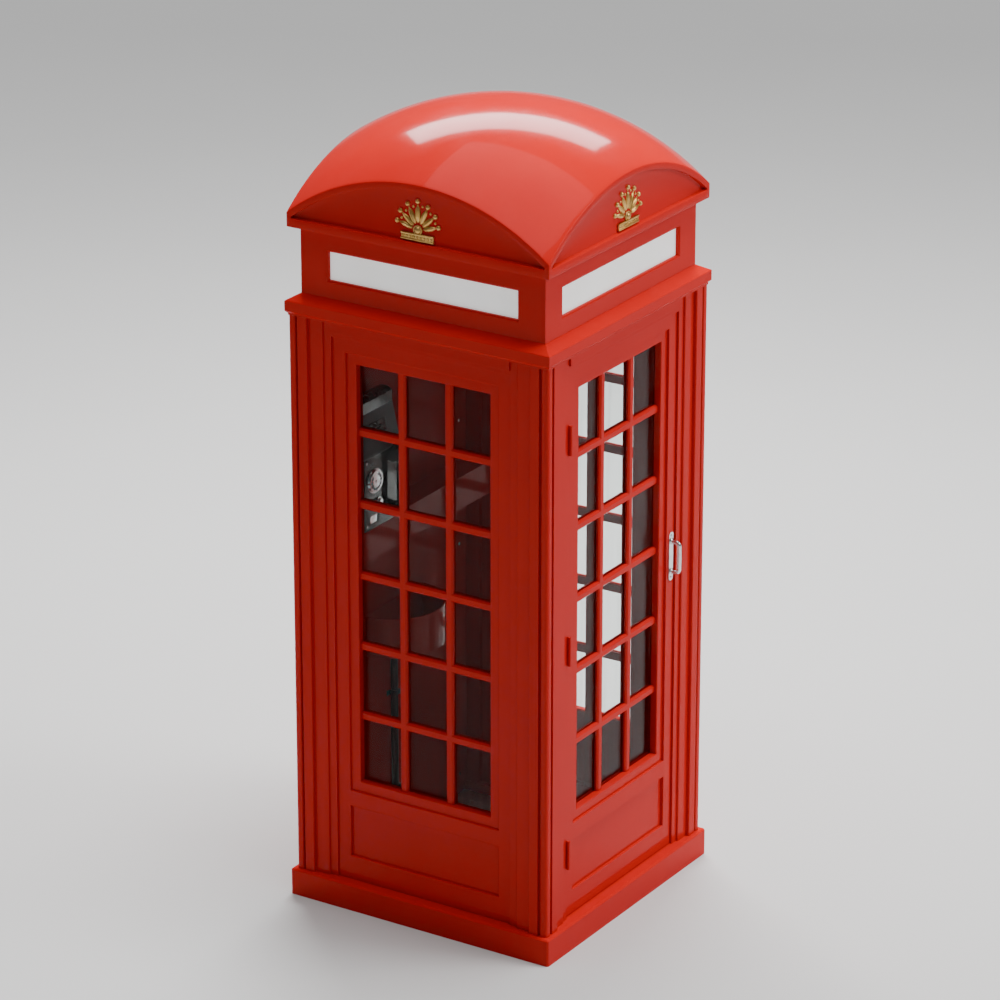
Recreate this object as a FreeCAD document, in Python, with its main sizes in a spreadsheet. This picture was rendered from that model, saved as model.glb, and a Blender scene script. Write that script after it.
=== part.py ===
import FreeCAD, Part

import math
import os
import re

import Sketcher

# Street telephone booth: a square cast-iron kiosk with a domed roof, three glazed sides, a blind
# rear wall and a hinged door.  Millimetres.  The origin is the middle of the base, +Z is up, the
# door faces -Y, its hinges are on the -X side, and the telephone hangs on the +Y wall.

doc = FreeCAD.newDocument("telephone_booth")

# ---------------------------------------------------------------------------------- sizes

SIZES = {
    # heights of the storeys, from the ground up
    "plinth_height": 94,
    "storey_height": 1962,
    "cornice_height": 72,
    "frieze_height": 225,
    "skirt_height": 47,
    "dome_rise": 317,
    # plan: the side of the square shaft, and how far the other storeys stand out from or behind it
    "shaft_side": 984,
    "plinth_overhang": 16,
    "cornice_overhang": 8,
    "frieze_setback": 32,
    "roof_overhang": 32,
    # plinth and floor
    "plinth_wall": 12,
    "floor_inset": 4,
    "floor_thickness": 60,
    "anchor_spacing": 640,
    "anchor_hole_radius": 9,
    # corner posts: a staff bead, then three stepped faces
    "post_depth": 92,
    "post_width": 153,
    "bead_width": 26,
    "bead_round": 11,
    "quirk_width": 9,
    "quirk_depth": 11,
    "outer_face_width": 70,
    "middle_face_width": 124,
    "outer_step": 12,
    "middle_step": 7,
    "inner_step": 7,
    "casting_wall": 9,
    "rear_rib": 25,
    "arris": 2.5,
    "broad_arris": 5,
    # how far a cutting block runs past the face it cuts
    "over_cut": 1,
    # lintels over the door and the windows
    "lintel_height": 51,
    "lintel_lower_band": 17,
    # door and window frames
    "frame_thickness": 46,
    "stile_width": 49,
    "top_rail_height": 48,
    "middle_rail_height": 58,
    "bottom_rail_height": 86,
    "panel_height": 182,
    "panel_recess": 10,
    "panel_thickness": 18,
    "glazing_frame_width": 36,
    "glazing_frame_step": 8,
    # glazing: columns and rows are counts
    "pane_columns": 3,
    "pane_rows": 6,
    "bar_width": 29,
    "bar_setback": 19,
    "bar_chamfer": 6,
    "glass_setback": 32,
    "glass_thickness": 6,
    "glazing_rebate": 8,
    # door
    "door_gap": 3,
    "door_stop_width": 14,
    "seat_gap": 0.3,
    "hinge_length": 100,
    "hinge_leaf": 2,
    "hinge_leaf_depth": 34,
    "hinge_barrel_radius": 5.5,
    "hinge_pin_radius": 3,
    "hinge_play": 0.05,
    "hinge_end_distance": 180,
    "hinge_standoff": 14,
    "hinge_knuckles": 5,
    "pull_height": 122,
    "pull_middle": 1153,
    "pull_offset": 5,
    "pull_radius": 7,
    "pull_bend": 14,
    "pull_reach": 34,
    "pull_plate_width": 25,
    "pull_plate_thickness": 3,
    "pull_plate_round": 11.5,
    "screw_head_radius": 4.4,
    "screw_head_sink": 2.6,
    # cornice: levels above its base
    "cove_low": 6,
    "fascia_low": 14.5,
    "fascia_high": 47.5,
    # roof and frieze
    "frieze_wall": 14,
    "sign_width": 712,
    "sign_height": 96,
    "sign_rise": 59,
    "sign_thickness": 6,
    "sign_lap": 10,
    "retainer_thickness": 10,
    "dome_wall": 9,
    "pediment_rim": 17,
    "pediment_recess": 16,
    "pediment_ledge": 30,
    # gilt fan on each pediment
    "fan_ribs": 7,
    "fan_turn": 25,
    "fan_foot": 6,
    "fan_band_width": 121,
    "fan_band_height": 23,
    "fan_band_thickness": 8.5,
    "fan_heart_rise": 40,
    "fan_boss_radius": 15.5,
    "fan_reach": 99,
    "fan_side_reach": 81,
    "fan_root_radius": 4,
    "fan_rib_radius": 8.5,
    "fan_tip_radius": 11,
    # cabin fittings
    "fitting_gap": 4,
    "ceiling_thickness": 10,
    "lamp_radius": 110,
    "lamp_base_thickness": 12,
    "lamp_socket_radius": 18,
    "lamp_socket_length": 22,
    "lamp_bulb_radius": 15.5,
    "lamp_drop": 72,
    "lamp_lip": 8,
    "lamp_wall": 3,
    "backboard_thickness": 12,
    "shelf_depth": 98,
    "shelf_top": 1310,
    "shelf_front_height": 115,
    "shelf_board": 12,
    "bin_radius": 180,
    "bin_top": 940,
    "bin_height": 140,
    "bin_wall": 5,
    "bin_middle": -60,
    "conduit_radius": 12,
    "conduit_wall": 2,
    "conduit_offset": -70,
    "conduit_low_strap": 250,
    "conduit_high_strap": 600,
    "strap_height": 18,
    "strap_reach": 30,
    # telephone
    "case_side_gap": 20,
    "case_width": 210,
    "case_depth": 110,
    "case_height": 250,
    "case_wall": 4,
    "hood_radius": 49,
    "hood_depth": 80,
    "slope_height": 140,
    "slope_foot": 8,
    "slot_plate_width": 88,
    "slot_plate_height": 42,
    "slot_plate_thickness": 4,
    "slot_plate_sink": 2,
    "slot_plate_rise": 55,
    "slot_length": 42,
    "slot_width": 4,
    "slot_depth": 20,
    "dial_plate_thickness": 3,
    "dial_plate_margin": 5,
    "dial_radius": 37,
    "dial_offset": -48,
    "dial_rise": 165,
    "dial_thickness": 6,
    "finger_holes": 10,
    "finger_hole_radius": 6,
    "finger_hole_turn": 30,
    "finger_first_turn": 60,
    "finger_circle_radius": 26,
    "spindle_radius": 5,
    "spindle_head": 2,
    "handset_offset": 56,
    "handset_grip_radius": 13,
    "handset_cap_radius": 28,
    "handset_cap_depth": 30,
    "handset_cap_seam": 24,
    "handset_grip_setback": 10.5,
    "handset_length": 200,
    "handset_rise": 236,
    "handset_standoff": 8,
    "prong_radius": 4,
    "prong_spread": 20,
    "prong_tip": 2,
    "hook_bar": 6,
    "hook_bar_setback": 10,
    "hook_travel": 12,
    "button_radius": 9,
    "button_spread": 46,
    "button_rise": 88,
    "button_travel": 6,
    "button_play": 0.3,
    "button_proud": 2,
    "button_flange": 3,
    "button_tail": 4,
    "bezel_thickness": 4,
    "bezel_margin": 5,
    "flap_gap": 1,
    "flap_lug": 6,
    "flap_width": 48,
    "flap_height": 30,
    "flap_rise": 16,
    "flap_thickness": 2.5,
    "flap_pin_radius": 1.5,
}

# Sizes that follow from the driving ones.  A half is measured from the booth's middle line.
LAYOUT = {
    "shaft_half": "shaft_side / 2",
    "plinth_half": "shaft_half + plinth_overhang",
    "cornice_half": "shaft_half + cornice_overhang",
    "frieze_half": "shaft_half - frieze_setback",
    "roof_half": "frieze_half + roof_overhang",
    "wall_inner": "shaft_half - post_depth",
    "floor_half": "wall_inner - floor_inset",
    "bay_half": "shaft_half - post_width",
    "face_plane": "shaft_half - outer_step - middle_step - inner_step",
    "frame_back": "face_plane - frame_thickness",
    "storey_top": "plinth_height + storey_height",
    "lintel_bottom": "storey_top - lintel_height",
    "cornice_top": "storey_top + cornice_height",
    "frieze_top": "cornice_top + frieze_height",
    "roof_corner_top": "frieze_top + skirt_height",
    "roof_top": "roof_corner_top + dome_rise",
    "opening_half": "bay_half - stile_width - glazing_frame_width",
    "opening_top": "lintel_bottom - top_rail_height - glazing_frame_width",
    "panel_bottom": "plinth_height + bottom_rail_height",
    "panel_top": "panel_bottom + panel_height",
    "glazing_frame_bottom": "panel_top + middle_rail_height",
    "opening_bottom": "glazing_frame_bottom + glazing_frame_width",
    "panel_half": "bay_half - stile_width",
    "column_pitch": "(opening_half * 2 + bar_width) / pane_columns",
    "row_pitch": "(opening_top - opening_bottom + bar_width) / pane_rows",
    "bar_front": "face_plane - bar_setback",
    "glass_front": "face_plane - glass_setback",
    "glass_back": "glass_front - glass_thickness",
    "web_half": "bar_width / 2 - glazing_rebate",
    "corner_reach": "roof_half * sqrt(2)",
    "dome_radius": "(corner_reach ^ 2 + dome_rise ^ 2) / (2 * dome_rise)",
    "dome_middle": "roof_top - dome_radius",
    "roof_inner": "roof_half - pediment_recess - dome_wall",
    "pediment_low": "frieze_top + pediment_ledge",
    "door_half": "bay_half - door_gap",
    "door_bottom": "plinth_height + door_gap",
    "door_top": "lintel_bottom - door_gap",
    "hinge_across": "bay_half - door_gap / 2",
    "hinge_out": "face_plane + hinge_standoff",
    "pull_across": "door_half - stile_width / 2 + pull_offset",
    "pull_low": "pull_middle - pull_height / 2",
    "pull_high": "pull_middle + pull_height / 2",
    "pull_face": "face_plane + pull_plate_thickness",
    "sign_bottom": "cornice_top + sign_rise",
    "sign_top": "sign_bottom + sign_height",
    "sign_back": "frieze_half - frieze_wall",
    "fan_foot_level": "pediment_low + fan_foot",
    "fan_heart": "pediment_low + fan_heart_rise",
    "fan_back": "roof_half - pediment_recess",
    "lamp_seat": "cornice_top - lamp_base_thickness",
    "lamp_socket_low": "lamp_seat - lamp_socket_length",
    "bowl_radius": "lamp_radius - lamp_lip",
    "board_face": "wall_inner - backboard_thickness",
    "bin_low": "bin_top - bin_height",
    "conduit_middle": "board_face - conduit_radius",
    "case_face": "board_face - case_depth",
    "case_left": "case_side_gap - wall_inner",
    "case_right": "case_left + case_width",
    "case_middle": "(case_left + case_right) / 2",
    "case_top": "shelf_top + case_height",
    "slope_back": "board_face - hood_depth",
    "slope_low": "case_top + slope_foot",
    "slope_top": "case_top + slope_height",
    "dial_across": "case_middle + dial_offset",
    "dial_up": "shelf_top + dial_rise",
    "handset_across": "case_middle + handset_offset",
    "handset_up": "shelf_top + handset_rise",
    "handset_low": "handset_up - handset_length",
    "cap_back": "case_face - handset_standoff",
    "cap_front": "cap_back - handset_cap_depth",
    "prong_drop": "sqrt((handset_cap_radius + prong_radius + seat_gap) ^ 2 - prong_spread ^ 2)",
    "prong_up": "handset_up - prong_drop",
    "button_up": "shelf_top + button_rise",
    "flap_bottom": "shelf_top + flap_rise",
    "flap_top": "flap_bottom + flap_height",
}

sheet = doc.addObject("Spreadsheet::Sheet", "dims")
for row, (name, value) in enumerate(SIZES.items(), start=1):
    sheet.set(f"A{row}", name)
    sheet.set(f"B{row}", str(value))
    sheet.setAlias(f"B{row}", name)
doc.recompute()


def bound(rule):
    """Write a size rule with the name of the sheet or the layout before each size in it."""
    def with_home(word):
        name = word.group()
        if name in SIZES:
            return "dims." + name
        return "layout." + name if name in LAYOUT else name

    return re.sub(r"[a-z_]+", with_home, str(rule))


layout = doc.addObject("App::VarSet", "layout")
for name, rule in LAYOUT.items():
    layout.addProperty("App::PropertyFloat", name)
for name, rule in LAYOUT.items():
    layout.setExpression(name, bound(rule))
doc.recompute()


def size(name):
    """The present value of one named size."""
    return float(getattr(sheet if name in SIZES else layout, name))


# -------------------------------------------------------------------------------- builders

PIECES = []
AXIS_TURNS = {
    "x": FreeCAD.Rotation(FreeCAD.Vector(0, 1, 0), 90),
    "y": FreeCAD.Rotation(FreeCAD.Vector(1, 0, 0), -90),
    "z": FreeCAD.Rotation(),
}
UP = FreeCAD.Vector(0, 0, 1)
SIDES = {"front": 0, "right": 90, "rear": 180, "left": -90}


def piece(shape_object, label, turn=0):
    """Give a finished sub-part its label, turned about the booth's upright middle line."""
    if turn:
        turned(shape_object, turn)
    shape_object.Label = label
    PIECES.append(shape_object)
    return shape_object


def turned(item, turn):
    """Turn a part about the booth's upright middle line."""
    item.Placement = FreeCAD.Placement(FreeCAD.Vector(), FreeCAD.Rotation(UP, turn))
    return item


def place(item, x, y, z):
    for axis, rule in (("x", x), ("y", y), ("z", z)):
        item.setExpression(f"Placement.Base.{axis}", bound(rule))
    return item


def block(name, x, y, z):
    """A box between a low and a high rule on each axis."""
    box = doc.addObject("Part::Box", name)
    for length, (low, high) in (("Length", x), ("Width", y), ("Height", z)):
        box.setExpression(length, bound(f"({high}) - ({low})"))
    return place(box, x[0], y[0], z[0])


def square(name, half, low, high):
    """A square block about the middle line."""
    sides = (f"-({half})", half)
    return block(name, sides, sides, (low, high))


def rod(name, radius, axis, start, length):
    """A cylinder from a start point along +X, +Y or +Z."""
    cylinder = doc.addObject("Part::Cylinder", name)
    cylinder.setExpression("Radius", bound(radius))
    cylinder.setExpression("Height", bound(length))
    cylinder.Placement = FreeCAD.Placement(FreeCAD.Vector(), AXIS_TURNS[axis])
    return place(cylinder, *start)


def cut(name, base, *tools):
    result = doc.addObject("Part::Cut", name)
    result.Base = base
    result.Tool = tools[0] if len(tools) == 1 else fuse(name + "_tools", *tools)
    return result


def fuse(name, *shapes):
    result = doc.addObject("Part::MultiFuse", name)
    result.Shapes = list(shapes)
    result.Refine = True
    return result


def common(name, *shapes):
    result = doc.addObject("Part::MultiCommon", name)
    result.Shapes = list(shapes)
    return result


def group(name, *shapes):
    """Separate solids kept side by side in one sub-part."""
    result = doc.addObject("Part::Compound", name)
    result.Links = list(shapes)
    return result


def eased(name, base, chooser, amount, kind="Part::Chamfer"):
    """Chamfer or round the edges whose two ends and middle pass the chooser."""
    doc.recompute()
    picked = []
    for number, edge in enumerate(base.Shape.Edges, start=1):
        if chooser(edge):
            picked.append((number, amount, amount))
    result = doc.addObject(kind, name)
    result.Base = base
    result.Edges = picked
    return result


def runs_along(edge, axis):
    """True where an edge is straight and parallel to the axis."""
    if edge.Curve.TypeId != "Part::GeomLine":
        return False
    return abs(abs(edge.tangentAt(edge.FirstParameter).dot(axis)) - 1) < 1e-6


def near(value, target, margin=0.01):
    return abs(value - target) < margin


def profile(name, plane, points, reach, start="0"):
    """Pad a closed outline, whose corners are pairs of rules, by a reach from a start plane."""
    body = doc.addObject("PartDesign::Body", name + "_body")
    sketch = body.newObject("Sketcher::SketchObject", name + "_outline")
    home = [item for item in body.Origin.OriginFeatures if item.Role == plane][0]
    sketch.AttachmentSupport = [(home, "")]
    sketch.MapMode = "FlatFace"
    scratch = doc.getObject("scratch")
    corners = []
    for across, up in points:
        scratch.setExpression("across", bound(across))
        scratch.setExpression("up", bound(up))
        scratch.recompute()
        corners.append(FreeCAD.Vector(scratch.across, scratch.up, 0))
    for number, corner in enumerate(corners):
        sketch.addGeometry(Part.LineSegment(corner, corners[(number + 1) % len(corners)]))
    for number in range(len(corners)):
        following = (number + 1) % len(corners)
        sketch.addConstraint(Sketcher.Constraint("Coincident", number, 2, following, 1))
    for number, (corner, rules) in enumerate(zip(corners, points)):
        for direction, value, rule in zip(("DistanceX", "DistanceY"), corner, rules):
            index = sketch.addConstraint(
                Sketcher.Constraint(direction, -1, 1, number, 1, value))
            sketch.setExpression(f"Constraints[{index}]", bound(rule))
    pad = body.newObject("PartDesign::Pad", name + "_pad")
    pad.Profile = sketch
    pad.setExpression("Length", bound(reach))
    along = {"XY_Plane": "z", "XZ_Plane": "y", "YZ_Plane": "x"}[plane]
    body.setExpression(f"Placement.Base.{along}", bound(start))
    return body


scratch = doc.addObject("App::VarSet", "scratch")
scratch.addProperty("App::PropertyFloat", "across")
scratch.addProperty("App::PropertyFloat", "up")


def sized(rule):
    """The present value of a rule."""
    scratch.setExpression("across", bound(rule))
    scratch.recompute()
    return scratch.across


# ---------------------------------------------------------------------------- base and floor

def make_plinth():
    outer = square("plinth_outer", "plinth_half", "0", "plinth_height")
    well = square("plinth_well", "floor_half", "0", "plinth_height")
    hollow_low = "plinth_height - plinth_wall"
    hollow = cut("plinth_hollow",
                 square("hollow_outer", "plinth_half - plinth_wall", "0", hollow_low),
                 square("hollow_inner", "floor_half + plinth_wall", "0", hollow_low))
    ring = cut("plinth_ring", outer, well, hollow)
    half = size("plinth_half")
    top = size("plinth_height")

    def outer_rim(edge):
        middle = edge.CenterOfMass
        reach = max(abs(middle.x), abs(middle.y))
        return near(reach, half) and (near(middle.z, top) or runs_along(edge, UP))

    piece(eased("plinth_eased", ring, outer_rim, size("broad_arris")), "plinth")


def make_floor():
    slab = square("slab", "floor_half", "0", "floor_thickness")
    holes = []
    for across in ("-anchor_spacing / 2", "anchor_spacing / 2"):
        for along in ("-anchor_spacing / 2", "anchor_spacing / 2"):
            holes.append(rod("anchor_hole", "anchor_hole_radius", "z", (across, along, "0"),
                             "floor_thickness"))
    holes.append(rod("conduit_hole", "conduit_radius", "z",
                     ("conduit_offset", "conduit_middle", "0"), "floor_thickness"))
    piece(cut("floor_cut", slab, *holes), "floor_slab")


# ------------------------------------------------------------------------------ shaft of the booth

def make_post(label, turn):
    """A hollow corner casting; its outline is the same on both sides of the corner's diagonal."""
    faces = [
        ("bead_width", "0"),
        ("bead_width", "quirk_depth"),
        ("bead_width + quirk_width", "quirk_depth"),
        ("bead_width + quirk_width", "0"),
        ("outer_face_width", "0"),
        ("outer_face_width", "outer_step"),
        ("middle_face_width", "outer_step"),
        ("middle_face_width", "outer_step + middle_step"),
        ("post_width", "outer_step + middle_step"),
        ("post_width", "post_depth"),
    ]
    outline = [("0", "0")] + faces + [("post_depth", "post_depth")]
    outline += [(up, across) for across, up in reversed(faces)]
    low = "outer_step + middle_step + casting_wall"
    core = [
        (low, low),
        ("post_width - casting_wall", low),
        ("post_width - casting_wall", "post_depth - casting_wall"),
        ("post_depth - casting_wall", "post_depth - casting_wall"),
        ("post_depth - casting_wall", "post_width - casting_wall"),
        (low, "post_width - casting_wall"),
    ]
    solids = []
    for name, points in (("post", outline), ("core", core)):
        moved = [(f"({a}) - shaft_half", f"({b}) - shaft_half") for a, b in points]
        solids.append(profile(f"{label}_{name}", "XY_Plane", moved, "storey_height",
                              "plinth_height"))
    casting = cut(label + "_casting", *solids)
    half = size("shaft_half")
    bead = size("bead_width")
    face = size("outer_face_width")
    middle = size("middle_face_width")

    def bead_corner(edge):
        at = edge.CenterOfMass
        return runs_along(edge, UP) and near(at.x, -half) and near(at.y, -half)

    def bead_sides(edge):
        at = edge.CenterOfMass
        if not runs_along(edge, UP):
            return False
        return any(near(a, -half) and near(b, bead - half) for a, b in ((at.x, at.y), (at.y, at.x)))

    def face_arris(edge):
        at = edge.CenterOfMass
        if not runs_along(edge, UP):
            return False
        stops = ((-half, face - half), (size("outer_step") - half, middle - half))
        return any(near(a, out) and near(b, over) for a, b in ((at.x, at.y), (at.y, at.x))
                   for out, over in stops)

    rounded = eased(label + "_bead", casting, bead_corner, size("bead_round"), "Part::Fillet")
    sided = eased(label + "_sides", rounded, bead_sides, size("broad_arris"), "Part::Fillet")
    piece(eased(label + "_eased", sided, face_arris, size("arris")), label, turn)


def make_lintels():
    outline = [
        ("-(face_plane + inner_step)", "lintel_bottom"),
        ("-(face_plane + inner_step)", "lintel_bottom + lintel_lower_band"),
        ("-(face_plane + inner_step + middle_step)", "lintel_bottom + lintel_lower_band"),
        ("-(face_plane + inner_step + middle_step)", "storey_top"),
        ("-wall_inner", "storey_top"),
        ("-wall_inner", "lintel_bottom"),
    ]
    beams = []
    for side, turn in SIDES.items():
        beam = group("lintel_" + side,
                     profile("lintel_" + side, "YZ_Plane", outline, "bay_half * 2", "-bay_half"))
        beams.append(turned(beam, turn))
    piece(group("lintel_set", *beams), "lintels")


def make_window_frame(label, turn, glazed):
    """A cast bay frame: stiles, rails, a stepped glazing surround and a lower panel in one."""
    back = "-frame_back"
    plate = block(label + "_plate", ("-bay_half", "bay_half"), ("-face_plane", back),
                  ("plinth_height", "lintel_bottom"))
    surround = block(label + "_surround", ("-panel_half", "panel_half"),
                     ("-face_plane", "-face_plane + glazing_frame_step"),
                     ("glazing_frame_bottom", "opening_top + glazing_frame_width"))
    recess = block(label + "_recess", ("-panel_half", "panel_half"),
                   ("-face_plane", "-face_plane + panel_recess"), ("panel_bottom", "panel_top"))
    if glazed:
        opening = block(label + "_opening", ("-opening_half", "opening_half"),
                        ("-face_plane", back), ("opening_bottom", "opening_top"))
        rebate = block(label + "_rebate",
                       ("-opening_half - glazing_rebate", "opening_half + glazing_rebate"),
                       ("-glass_front", back),
                       ("opening_bottom - glazing_rebate", "opening_top + glazing_rebate"))
        hollow = block(label + "_hollow", ("-panel_half", "panel_half"),
                       ("-face_plane + panel_recess + casting_wall", back),
                       ("panel_bottom", "panel_top"))
        frame = cut(label + "_frame", plate, surround, recess, opening, rebate, hollow)
    else:
        field = block(label + "_field", ("-opening_half", "opening_half"),
                      ("-face_plane", "-bar_front"), ("opening_bottom", "opening_top"))
        margin = "(casting_wall + rear_rib)"
        hollow = block(label + "_hollow", (f"-bay_half + {margin}", f"bay_half - {margin}"),
                       ("-bar_front + casting_wall", back),
                       (f"plinth_height + {margin}", f"lintel_bottom - {margin}"))
        frame = cut(label + "_frame", plate, surround, recess, field, hollow)
    front = -size("face_plane")
    step = front + size("glazing_frame_step")
    panel = size("panel_half")
    opening_half = size("opening_half")

    def surround_arris(edge):
        box = edge.BoundBox
        at_face = near(box.YMin, front) and near(box.YMax, front)
        at_step = near(box.YMin, step) and near(box.YMax, step)
        inside_face = max(abs(box.XMin), abs(box.XMax)) < panel + size("over_cut")
        inside_step = max(abs(box.XMin), abs(box.XMax)) < opening_half + size("over_cut")
        return (at_face and inside_face) or (at_step and inside_step)

    piece(eased(label + "_eased", frame, surround_arris, size("arris")), label, turn)


def bar_outline(across, front):
    """A glazing bar's section: a chamfered nose in front of a narrower web between the panes."""
    nose = "bar_width / 2"
    section = [
        (f"-({nose}) + bar_chamfer", front),
        (f"{nose} - bar_chamfer", front),
        (nose, f"{front} + bar_chamfer"),
        (nose, "-glass_front"),
        ("web_half", "-glass_front"),
        ("web_half", "-frame_back"),
        ("-web_half", "-frame_back"),
        ("-web_half", "-glass_front"),
        (f"-({nose})", "-glass_front"),
        (f"-({nose})", f"{front} + bar_chamfer"),
    ]
    return [(f"{over} + {across}", depth) for over, depth in section]


def make_bars(label, turn):
    columns = int(size("pane_columns"))
    rows = int(size("pane_rows"))
    bars = []
    for number in range(1, columns):
        across = f"(opening_half * -1 - bar_width / 2 + {number} * column_pitch)"
        bars.append(profile(f"{label}_upright{number}", "XY_Plane",
                            bar_outline(across, "-bar_front"),
                            "opening_top - opening_bottom + glazing_rebate * 2",
                            "opening_bottom - glazing_rebate"))
    for number in range(1, rows):
        level = f"(opening_bottom - bar_width / 2 + {number} * row_pitch)"
        section = [(depth, over) for over, depth in bar_outline(level, "-bar_front")]
        bars.append(profile(f"{label}_cross{number}", "YZ_Plane", section,
                            "(opening_half + glazing_rebate) * 2", "-opening_half - glazing_rebate"))
    lattice = fuse(label + "_lattice", *bars)
    stub = "opening_half + glazing_rebate"
    over = block(label + "_reach", (f"-({stub})", stub), ("-glass_front", "-frame_back"),
                 ("opening_bottom - glazing_rebate", "opening_top + glazing_rebate"))
    face = block(label + "_face", ("-opening_half", "opening_half"),
                 ("-face_plane", "-glass_front"), ("opening_bottom", "opening_top"))
    return turned(common(label + "_trimmed", lattice, fuse(label + "_limits", over, face)), turn)


def pane_places():
    for column in range(int(size("pane_columns"))):
        for row in range(int(size("pane_rows"))):
            left = f"-opening_half + {column} * column_pitch"
            low = f"opening_bottom + {row} * row_pitch"
            yield f"{column}_{row}", left, low


def make_panes(label, turn):
    panes = []
    for key, left, low in pane_places():
        panes.append(block(f"{label}_{key}",
                           (f"{left} - glazing_rebate",
                            f"{left} + column_pitch - bar_width + glazing_rebate"),
                           ("-glass_front", "-glass_back"),
                           (f"{low} - glazing_rebate",
                            f"{low} + row_pitch - bar_width + glazing_rebate")))
    return turned(group(label + "_group", *panes), turn)


def make_beads(label, turn):
    """Rectangular glazing beads that hold each pane in its rebate from inside the cabin."""
    beads = []
    for key, left, low in pane_places():
        right = f"{left} + column_pitch - bar_width"
        top = f"{low} + row_pitch - bar_width"
        depth = ("-glass_back", "-frame_back")
        outer = block(f"{label}_outer_{key}", (f"{left} - glazing_rebate", f"{right} + glazing_rebate"),
                      depth, (f"{low} - glazing_rebate", f"{top} + glazing_rebate"))
        inner = block(f"{label}_inner_{key}", (left, right), depth, (low, top))
        beads.append(cut(f"{label}_{key}", outer, inner))
    return turned(group(label + "_group", *beads), turn)


# ------------------------------------------------------------------------------------- door

def make_door_frame():
    depth = ("-face_plane", "-frame_back")
    inner = "panel_half"
    surround_top = "opening_top + glazing_frame_width"
    hinge_stile = block("hinge_stile_board", ("-door_half", f"-{inner}"), depth,
                        ("door_bottom", "door_top"))
    pockets = []
    for number, low in enumerate(hinge_levels()):
        pockets.append(block(f"hinge_pocket{number}", ("-door_half", "-door_half + hinge_leaf"),
                             ("-face_plane", "-face_plane + hinge_leaf_depth"),
                             (low, f"{low} + hinge_length")))
    piece(cut("hinge_stile_cut", hinge_stile, *pockets), "door_hinge_stile")
    lock_stile = block("lock_stile_board", (inner, "door_half"), depth, ("door_bottom", "door_top"))
    piece(group("lock_stile", lock_stile), "door_lock_stile")
    for label, low, high in (("door_top_rail", surround_top, "door_top"),
                             ("door_middle_rail", "panel_top", "glazing_frame_bottom"),
                             ("door_bottom_rail", "door_bottom", "panel_bottom")):
        rail = block(label + "_board", (f"-{inner}", inner), depth, (low, high))
        piece(group(label + "_one", rail), label)
    panel_front = "-face_plane + panel_recess"
    panel = block("panel_board", (f"-{inner}", inner),
                  (panel_front, f"{panel_front} + panel_thickness"), ("panel_bottom", "panel_top"))
    piece(group("panel_one", panel), "door_panel")
    surround = block("surround_board", (f"-{inner}", inner),
                     ("-face_plane + glazing_frame_step", "-frame_back"),
                     ("glazing_frame_bottom", surround_top))
    opening = block("surround_opening", ("-opening_half", "opening_half"), depth,
                    ("opening_bottom", "opening_top"))
    rebate = block("surround_rebate",
                   ("-opening_half - glazing_rebate", "opening_half + glazing_rebate"),
                   ("-glass_front", "-frame_back"),
                   ("opening_bottom - glazing_rebate", "opening_top + glazing_rebate"))
    frame = cut("surround_cut", surround, opening, rebate)
    step = -size("face_plane") + size("glazing_frame_step")
    opening_half = size("opening_half")

    def opening_arris(edge):
        box = edge.BoundBox
        inside = max(abs(box.XMin), abs(box.XMax)) < opening_half + size("over_cut")
        return near(box.YMin, step) and near(box.YMax, step) and inside

    piece(eased("surround_eased", frame, opening_arris, size("arris")), "door_glazing_frame")


def make_door_stops():
    depth = ("-frame_back + seat_gap", "-wall_inner")
    edge = "bay_half - door_stop_width"
    left = block("stop_left", ("-bay_half", f"-({edge})"), depth, ("plinth_height", "lintel_bottom"))
    right = block("stop_right", (edge, "bay_half"), depth, ("plinth_height", "lintel_bottom"))
    head = block("stop_head", (f"-({edge})", edge), depth,
                 ("lintel_bottom - door_stop_width", "lintel_bottom"))
    piece(group("stops", left, right, head), "door_stops")


def hinge_levels():
    """The low end of each of the three hinges."""
    low = "door_bottom + hinge_end_distance"
    high = "door_top - hinge_end_distance - hinge_length"
    return (low, f"({low} + {high}) / 2", high)


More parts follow.
